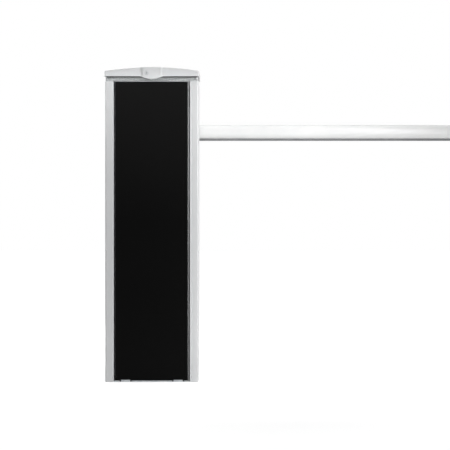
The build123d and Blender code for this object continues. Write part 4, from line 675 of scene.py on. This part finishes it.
def wound_spring():
    """The balance spring: round wire wound round its axis, at one fixed length; the real one is squashed as
    the boom opens.
    """
    low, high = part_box("balance_spring")
    axis_x = (low.x + high.x) / 2
    axis_y = (low.y + high.y) / 2
    bpy.ops.mesh.primitive_circle_add(vertices=wire_sides, radius=wire_radius,
                                      location=(coil_radius, 0, 0), rotation=(math.pi / 2, 0, 0))
    coil = bpy.context.object
    bpy.ops.object.transform_apply(location=True, rotation=True, scale=False)
    applied(coil, "SCREW", axis="Z", angle=math.tau, screw_offset=coil_pitch, iterations=coil_turns,
            steps=coil_steps, render_steps=coil_steps, use_merge_vertices=False)
    close_ends(coil)
    rise = ((low.z + high.z) - coil_pitch * coil_turns) / 2
    coil.location = (axis_x, axis_y, rise)
    settle(coil, "wound_balance_spring", "spring_steel", "cabinet")
    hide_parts("balance_spring")
    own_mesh(coil)


def cuboid(low, high):
    """A block between two corners, with its place in its mesh."""
    size = [b - a for a, b in zip(low, high)]
    bpy.ops.mesh.primitive_cube_add(size=1, location=[(a + b) / 2 for a, b in zip(low, high)])
    block = bpy.context.object
    block.scale = size
    bpy.ops.object.transform_apply(location=True, rotation=False, scale=True)
    return block


def round_bar(centre, radius, low, high, sides=32):
    """An upright cylinder between two heights."""
    place = (*centre, (low + high) / 2)
    bpy.ops.mesh.primitive_cylinder_add(vertices=sides, radius=radius, depth=high - low, location=place)
    bar = bpy.context.object
    bpy.ops.object.transform_apply(location=True, rotation=False, scale=False)
    return bar


def rounded(piece, width, segments=3, angle=math.radians(40)):
    """Rounds the piece's sharp edges."""
    applied(piece, "BEVEL", width=width, segments=segments, limit_method="ANGLE", angle_limit=angle)
    return piece


def shaped(piece, test, steps, mode="FACE"):
    """Selects faces or edges of a piece by a test, and takes the steps of shaping on them."""
    only(piece)
    bpy.ops.object.mode_set(mode="EDIT")
    select(piece, test, mode)
    for operator, settings in steps:
        operator(**settings)
    bpy.ops.object.mode_set(mode="OBJECT")
    return piece


def top_face(place, normal):
    """Whether a face looks up."""
    return normal.z > 0.9


def edge_bevel(offset, segments):
    """The step of shaping that bevels the edges that are selected."""
    return bpy.ops.mesh.bevel, {"offset": offset, "segments": segments, "affect": "EDGES"}


def sunk(piece, test, rim, slope, depth):
    """Sinks a face inside a rim, with a narrow slope down to it."""
    return shaped(piece, test, [
        (bpy.ops.mesh.inset, {"thickness": rim, "depth": 0}),
        (bpy.ops.mesh.inset, {"thickness": slope, "depth": -depth})])


def row_of(piece, count, step):
    """The piece and its copies at equal steps."""
    copies = [placed_copy(piece, 0, [distance * i for distance in step]) for i in range(1, count)]
    return [piece, *copies]


def circuit_board():
    """The board of the control unit: rounded at its corners, with a screw near each of them."""
    low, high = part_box("control_board")
    board = cuboid(low, (high.x, high.y, low.z + board_thickness))
    shaped(board, upright_edge, [edge_bevel(3 * MM, 4)], "EDGE")
    rounded(board, 0.2 * MM, 1)
    settle(board, "circuit_board", "green_board", "cabinet")
    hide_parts("control_board")
    screws = []
    for x in (low.x + screw_inset, high.x - screw_inset):
        for y in (low.y + screw_inset, high.y - screw_inset):
            screws.append(board_screw((x, y), low.z + board_thickness))
    settle(joined(screws), "board_screws", "zinc_steel", "cabinet")
    return low


def upright_edge(place, way):
    """Whether an edge runs up."""
    return abs(way.z) > abs(way.x) + abs(way.y)


def board_screw(centre, height):
    """A pan-head screw with a cross recess, on a washer."""
    washer = rounded(round_bar(centre, washer_radius, height, height + washer_top), 0.15 * MM, 1)
    head = round_bar(centre, screw_radius, height + washer_top, height + screw_top)
    shaped(head, top_face, [edge_bevel(0.9 * MM, 3)])
    for reach_x, reach_y in ((recess_reach, recess_half), (recess_half, recess_reach)):
        low = (centre[0] - reach_x, centre[1] - reach_y, height + recess_floor)
        high = (centre[0] + reach_x, centre[1] + reach_y, height + cut_top)
        cut(head, cuboid(low, high))
    return joined([washer, head])


def relays(low, top):
    """Relays in black cases, with a raised band at the foot and a vent in the lid."""
    left, right = low.x + relay_left, low.x + relay_right
    case = cuboid((left, relay_front, top), (right, relay_back, top + relay_top))
    sunk(case, top_face, 0.9 * MM, 0.3 * MM, 0.5 * MM)
    rounded(case, 0.4 * MM, 2)
    vent_place = (left + 3 * MM, relay_front + 3.5 * MM)
    vent = round_bar(vent_place, 0.9 * MM, top + relay_top - 0.8 * MM, top + relay_top, 16)
    rounded(vent, 0.2 * MM, 1)
    foot = cuboid((left - foot_rim, relay_front - foot_rim, top),
                  (right + foot_rim, relay_back + foot_rim, top + foot_top))
    rounded(foot, 0.3 * MM, 1)
    row = row_of(joined([case, vent, foot]), relay_count, row_step)
    settle(joined(row), "relays", "black_plastic", "cabinet")


def capacitors(low, top):
    """Large capacitors: a shrunk sleeve rolled over the rim, and a scored metal top."""
    centre = (low.x + capacitor_left, capacitor_row)
    sleeve = round_bar(centre, capacitor_radius, top, top + sleeve_top, 48)
    sunk(sleeve, top_face, 1.4 * MM, 0.2 * MM, 0.5 * MM)
    rounded(sleeve, 0.6 * MM, 3)
    cap = round_bar(centre, cap_radius, top + cap_top - 0.9 * MM, top + cap_top, 48)
    score = cuboid((-score_reach, -score_half, top + cap_top - 0.3 * MM),
                   (score_reach, score_half, top + cap_top + 1.1 * MM))
    for turn in (0, math.pi / 2):
        cut(cap, placed_copy(score, turn, (*centre, 0)))
    bpy.data.objects.remove(score)
    sleeves = row_of(sleeve, capacitor_count, row_step)
    settle(joined(sleeves), "capacitor_sleeves", "black_plastic", "cabinet")
    caps = row_of(cap, capacitor_count, row_step)
    settle(joined(caps), "capacitor_tops", "machined_steel", "cabinet")


def leg_row(start, step, count, slant):
    """A row of bent legs along one side of a chip."""
    width, depth, height = leg_size
    if step[0] == 0:
        width, depth = depth, width
    low = (start[0] - width / 2, start[1] - depth / 2, start[2])
    high = (start[0] + width / 2, start[1] + depth / 2, start[2] + height)
    first = cuboid(low, high)
    shaped(first, top_face, [(bpy.ops.transform.translate, {"value": slant})])
    return row_of(first, count, step)


def chip_legs(low, middle, size, top):
    """The legs on the two long sides of a chip, and on all four of a square one."""
    (x, y), (width, depth) = middle, size
    count = int(width / leg_pitch)
    legs = []
    for side in (-1, 1):
        start = (low[0] + leg_start, y + side * (depth / 2 + leg_out), top)
        legs += leg_row(start, (leg_pitch, 0, 0), count, (0, -side * leg_slant, 0))
    if width == depth:
        for side in (-1, 1):
            start = (x + side * (width / 2 + leg_out), low[1] + leg_start, top)
            legs += leg_row(start, (0, leg_pitch, 0), count, (-side * leg_slant, 0, 0))
    return legs


def chips(top):
    """The processor and the small chips: tapered bodies with a dot at the first leg, and their legs."""
    bodies, legs = [], []
    for middle, size in (processor, *small_chips):
        (x, y), (width, depth) = middle, size
        low = (x - width / 2, y - depth / 2, top + chip_foot)
        high = (x + width / 2, y + depth / 2, top + chip_top)
        body = cuboid(low, high)
        shaped(body, top_face, [(bpy.ops.transform.resize, {"value": chip_taper})])
        rounded(body, 0.15 * MM, 1)
        corner = (low[0] + dot_inset, high[1] - dot_inset)
        dot = round_bar(corner, dot_radius, top + dot_foot, top + dot_top, 12)
        bodies += [body, rounded(dot, 0.1 * MM, 1)]
        legs += chip_legs(low, middle, size, top)
    settle(joined(bodies), "chips", "black_plastic", "cabinet")
    settle(joined(legs), "chip_legs", "machined_steel", "cabinet")


def small_resistors(top):
    """Small resistors, side by side in three rows."""
    first = cuboid((*resistor_low, top), (*resistor_high, top + resistor_top))
    rounded(first, 0.15 * MM, 1)
    pieces = []
    for front in row_of(first, *resistor_columns):
        pieces += row_of(front, *resistor_rows)
    settle(joined(pieces), "small_resistors", "grey_cap", "cabinet")


def display_window(top):
    """A two-digit display in a black case, with its two push buttons beside it."""
    case = cuboid((*display_low, top), (*display_high, top + display_top))
    sunk(case, top_face, 1.2 * MM, 0.2 * MM, 0.4 * MM)
    rounded(case, 0.3 * MM, 2)
    bases, caps = [], []
    for x in button_columns:
        low = (x - button_half, button_row - button_half, top)
        high = (x + button_half, button_row + button_half, top + button_top)
        bases.append(rounded(cuboid(low, high), 0.3 * MM, 2))
        cap = round_bar((x, button_row), push_radius, top + push_foot, top + push_top, 24)
        caps.append(rounded(cap, 0.3 * MM, 2))
    settle(joined([case, *bases]), "display_case", "black_plastic", "cabinet")
    settle(joined(caps), "board_buttons", "red_plastic", "cabinet")


def window_block(low, high, gap, front, back):
    """A block in the window of the transformer's core, with a gap to its sides."""
    side, level = core_limb + gap, core_yoke + gap
    return cuboid((low.x + side, front, low.z + level), (high.x - side, back, high.z - level))


def mains_transformer():
    """The transformer: a sheet core in a bent clamp, and a bobbin with its wound coil."""
    low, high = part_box("transformer")
    core = cuboid((low.x, core_front, low.z), (high.x, core_back, high.z))
    cut(core, window_block(low, high, 0, low.y, high.y))
    rounded(core, 0.5 * MM, 2)
    settle(core, "sheet_core", "transformer_iron", "cabinet")
    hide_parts("transformer")
    clamp = cuboid((low.x - clamp_wall, clamp_front, low.z),
                   (high.x + clamp_wall, clamp_back, high.z + clamp_wall))
    cut(clamp, cuboid((low.x, clamp_front - MM, low.z - MM), (high.x, clamp_back + MM, high.z)))
    rounded(clamp, 0.5 * MM, 2)
    settle(clamp, "core_clamp", "zinc_steel", "cabinet")
    coil = window_block(low, high, coil_gap, low.y + coil_inset, high.y - coil_inset)
    shaped(coil, lambda place, way: abs(way.y) > abs(way.x) + abs(way.z), [edge_bevel(3 * MM, 4)], "EDGE")
    flanges = []
    for y in (low.y, high.y - bobbin_flange):
        flange = window_block(low, high, bobbin_gap, y, y + bobbin_flange)
        flanges.append(rounded(flange, 0.6 * MM, 2))
    settle(joined([coil, *flanges]), "wound_coil", "grey_cap", "cabinet")


def control_unit():
    """The board, all that stands on it, and the transformer."""
    low = circuit_board()
    top = low.z + board_thickness
    relays(low, top)
    capacitors(low, top)
    chips(top)
    small_resistors(top)
    display_window(top)
    mains_transformer()


def lock_face():
    """The plug of the lock, with a rounded rim, a shallow dish and its keyway."""
    low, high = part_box("lock_plug")
    x, y, z = [(a + b) / 2 for a, b in zip(low, high)]
    bpy.ops.mesh.primitive_cylinder_add(
        vertices=48, radius=(high.x - low.x) / 2, depth=high.y - low.y, location=(x, y, z),
        rotation=(math.pi / 2, 0, 0))
    plug = bpy.context.object
    bpy.ops.object.transform_apply(location=True, rotation=True, scale=True)
    sunk(plug, lambda place, normal: normal.y < -0.9, 1.2 * MM, 0.4 * MM, 0.3 * MM)
    for left, right, foot, head in keyway_cuts:
        cut(plug, cuboid((x + left, low.y - MM, z + foot), (x + right, low.y + keyway_depth, z + head)))
    rounded(plug, 0.25 * MM, 2)
    settle(plug, "lock_face", "grey_cap", "lock")
    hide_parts("lock_plug")


def turned(piece, turn, place):
    """Turns a piece about the origin, moves it and applies both."""
    only(piece)
    piece.rotation_euler = turn
    piece.location = place
    bpy.ops.object.transform_apply(location=True, rotation=True, scale=True)
    return piece


def screw_thread(radius, pitch, low, high):
    """A core with a sharp ridge wound round it, upright on the Z axis, between two heights."""
    depth = thread_share * pitch
    core = round_bar((0, 0), radius - depth, low, high, 24)
    rounded(core, depth, 1)
    turns = int((high - low) / pitch) - 1
    bpy.ops.mesh.primitive_circle_add(vertices=3, radius=depth, location=(radius - depth, 0, 0),
                                      rotation=(math.pi / 2, math.pi / 2, 0))
    ridge = bpy.context.object
    bpy.ops.object.transform_apply(location=True, rotation=True, scale=True)
    applied(ridge, "SCREW", axis="Z", angle=math.tau, screw_offset=pitch, iterations=turns,
            steps=thread_steps, render_steps=thread_steps, use_merge_vertices=False)
    close_ends(ridge)
    return joined([core, turned(ridge, (0, 0, 0), (0, 0, low + (high - low - turns * pitch) / 2))])


def close_ends(coil):
    """Closes the two open ends of a wound shape and turns its faces outwards."""
    only(coil)
    bpy.ops.object.mode_set(mode="EDIT")
    bpy.ops.mesh.select_all(action="SELECT")
    bpy.ops.mesh.region_to_loop()
    bpy.ops.mesh.fill()
    bpy.ops.mesh.select_all(action="SELECT")
    bpy.ops.mesh.normals_make_consistent(inside=False)
    bpy.ops.object.mode_set(mode="OBJECT")


def hexagon(radius, low, high):
    """A hexagon head or nut, with its upper corners turned off."""
    head = round_bar((0, 0), radius, low, high, 6)
    blank = round_bar((0, 0), radius * blank_share, low - MM, high, 48)
    shaped(blank, top_face, [edge_bevel(radius * chamfer_share, 1)])
    cut(head, blank, "INTERSECT")
    return head


def hexagon_bolt(radius, head_height, length, thread_length, pitch):
    """A bolt that stands on the origin: head, washer, plain shank and a threaded end below."""
    head = hexagon(radius * head_share, 0, head_height)
    washer = round_bar((0, 0), radius * head_share * washer_share, *washer_reach)
    rounded(washer, 0.2 * MM, 1)
    shank = round_bar((0, 0), radius, thread_length - length, 0, 24)
    end = screw_thread(radius, pitch, -length, thread_length - length)
    return joined([head, washer, shank, end])


def boom_bolts():
    """The bolts of the boom holder: four through cover and flanges, and four from the hub."""
    through = hexagon_bolt(*cover_bolt)
    nut = hexagon(*cover_nut)
    short = hexagon_bolt(*hub_bolt)
    cover_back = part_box("holder_cover")[1].y
    flange_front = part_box("boom_holder")[1].y - holder_flange
    pieces = []
    for x in cover_columns:
        for z in cover_rows:
            pieces.append(turned(own_copy(through), to_back, (x, cover_back, z)))
            pieces.append(turned(own_copy(nut), to_front, (x, flange_front, z)))
    for x in hub_columns:
        for z in hub_rows:
            pieces.append(turned(own_copy(short), to_front, (x, hub_face, z)))
    for spare in (through, nut, short):
        bpy.data.objects.remove(spare)
    settle(joined(pieces), "boom_bolts", "zinc_steel", "boom", math.radians(25))
    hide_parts("holder_bolts")


def own_copy(piece):
    """A copy of a piece with its own mesh."""
    copy = piece.copy()
    copy.data = piece.data.copy()
    bpy.context.collection.objects.link(copy)
    return copy


def pale_floor():
    """A floor that glows a little where it is looked at, less near the object, so that a shadow shows."""
    bpy.ops.mesh.primitive_plane_add(size=floor_size, location=(0, 0, 0))
    floor = bpy.context.object
    floor.name = "floor"
    pale, place = finish("pale_floor")
    path = node(pale, "LightPath", {})
    ahead = node(pale, "Math", {"operation": "MAXIMUM"}, {
        0: (path, "Is Camera Ray"), 1: (path, "Is Glossy Ray")})
    seen = node(pale, "Math", {"operation": "MAXIMUM"}, {0: ahead, 1: (path, "Is Transmission Ray")})
    spot = node(pale, "VectorMath", {"operation": "LENGTH"}, {0: place})
    reach = node(pale, "MapRange", {
        "From Min": glow_near[0], "From Max": glow_far[0], "To Min": glow_near[1], "To Max": glow_far[1]},
        {"Value": (spot, "Value")})
    glow = node(pale, "Math", {"operation": "MULTIPLY"}, {0: seen, 1: reach})
    surface(pale, {
        "Base Color": linear("#F0F0F0"), "Roughness": 0.9, "Specular IOR Level": 0.0,
        "Emission Color": linear("#FFFFFF")}, {"Emission Strength": glow})
    floor.data.materials.append(pale)


def white_room():
    """A world that is white where it is looked at, and soft light from all round."""
    world = bpy.data.worlds.new("white_studio")
    world.use_nodes = True
    world.node_tree.nodes.clear()
    path = node(world, "LightPath", {})
    # The room is darker to the left and behind the camera, where gloss sees it.
    direction = (node(world, "TexCoord", {}), "Generated")
    side = node(world, "VectorMath", {"operation": "DOT_PRODUCT", 1: light_side}, {0: direction})
    room = node(world, "MapRange", {
        "From Min": room_edges[0], "From Max": room_edges[1], "To Min": room_dark},
        {"Value": (side, "Value")})
    gloss = node(world, "Mix", {"A": room_light}, {"Factor": (path, "Is Glossy Ray"), "B": room})
    seen = node(world, "Math", {"operation": "MAXIMUM"}, {
        0: (path, "Is Camera Ray"), 1: (path, "Is Transmission Ray")})
    strength = node(world, "Math", {"operation": "MAXIMUM"}, {0: gloss, 1: seen})
    sky = node(world, "Background", {"Color": linear("#FFFFFF")}, {"Strength": strength})
    node(world, "OutputWorld", {}, {"Surface": sky})
    bpy.context.scene.world = world


def softbox(name, place, target, size, power, spread):
    """A soft lamp that points at a target, as a beam where its spread is small."""
    bpy.ops.object.light_add(type="AREA", location=place)
    lamp = bpy.context.object
    lamp.name = name
    lamp.data.shape = "RECTANGLE"
    lamp.data.size, lamp.data.size_y = size
    lamp.data.energy = power
    lamp.data.spread = math.radians(spread)
    lamp.rotation_euler = (Vector(target) - Vector(place)).to_track_quat("-Z", "Y").to_euler()
    lamp.visible_camera = False


def camera():
    """The photograph's viewpoint: level and square to the front."""
    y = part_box("right_profile")[0].y - view_distance
    bpy.ops.object.camera_add(location=(view_x, y, view_z), rotation=(math.pi / 2, 0, 0))
    seen = bpy.context.object
    seen.data.sensor_width = sensor_width
    seen.data.lens = sensor_width * view_distance / view_width
    bpy.context.scene.camera = seen


camera()
pale_floor()
white_room()
for lamp_facts in lamps:
    softbox(*lamp_facts)
dress_frame()
light_band()
band_pillars()
wound_spring()
control_unit()
lock_face()
boom_bolts()
bpy.context.scene.view_settings.view_transform = "Standard"
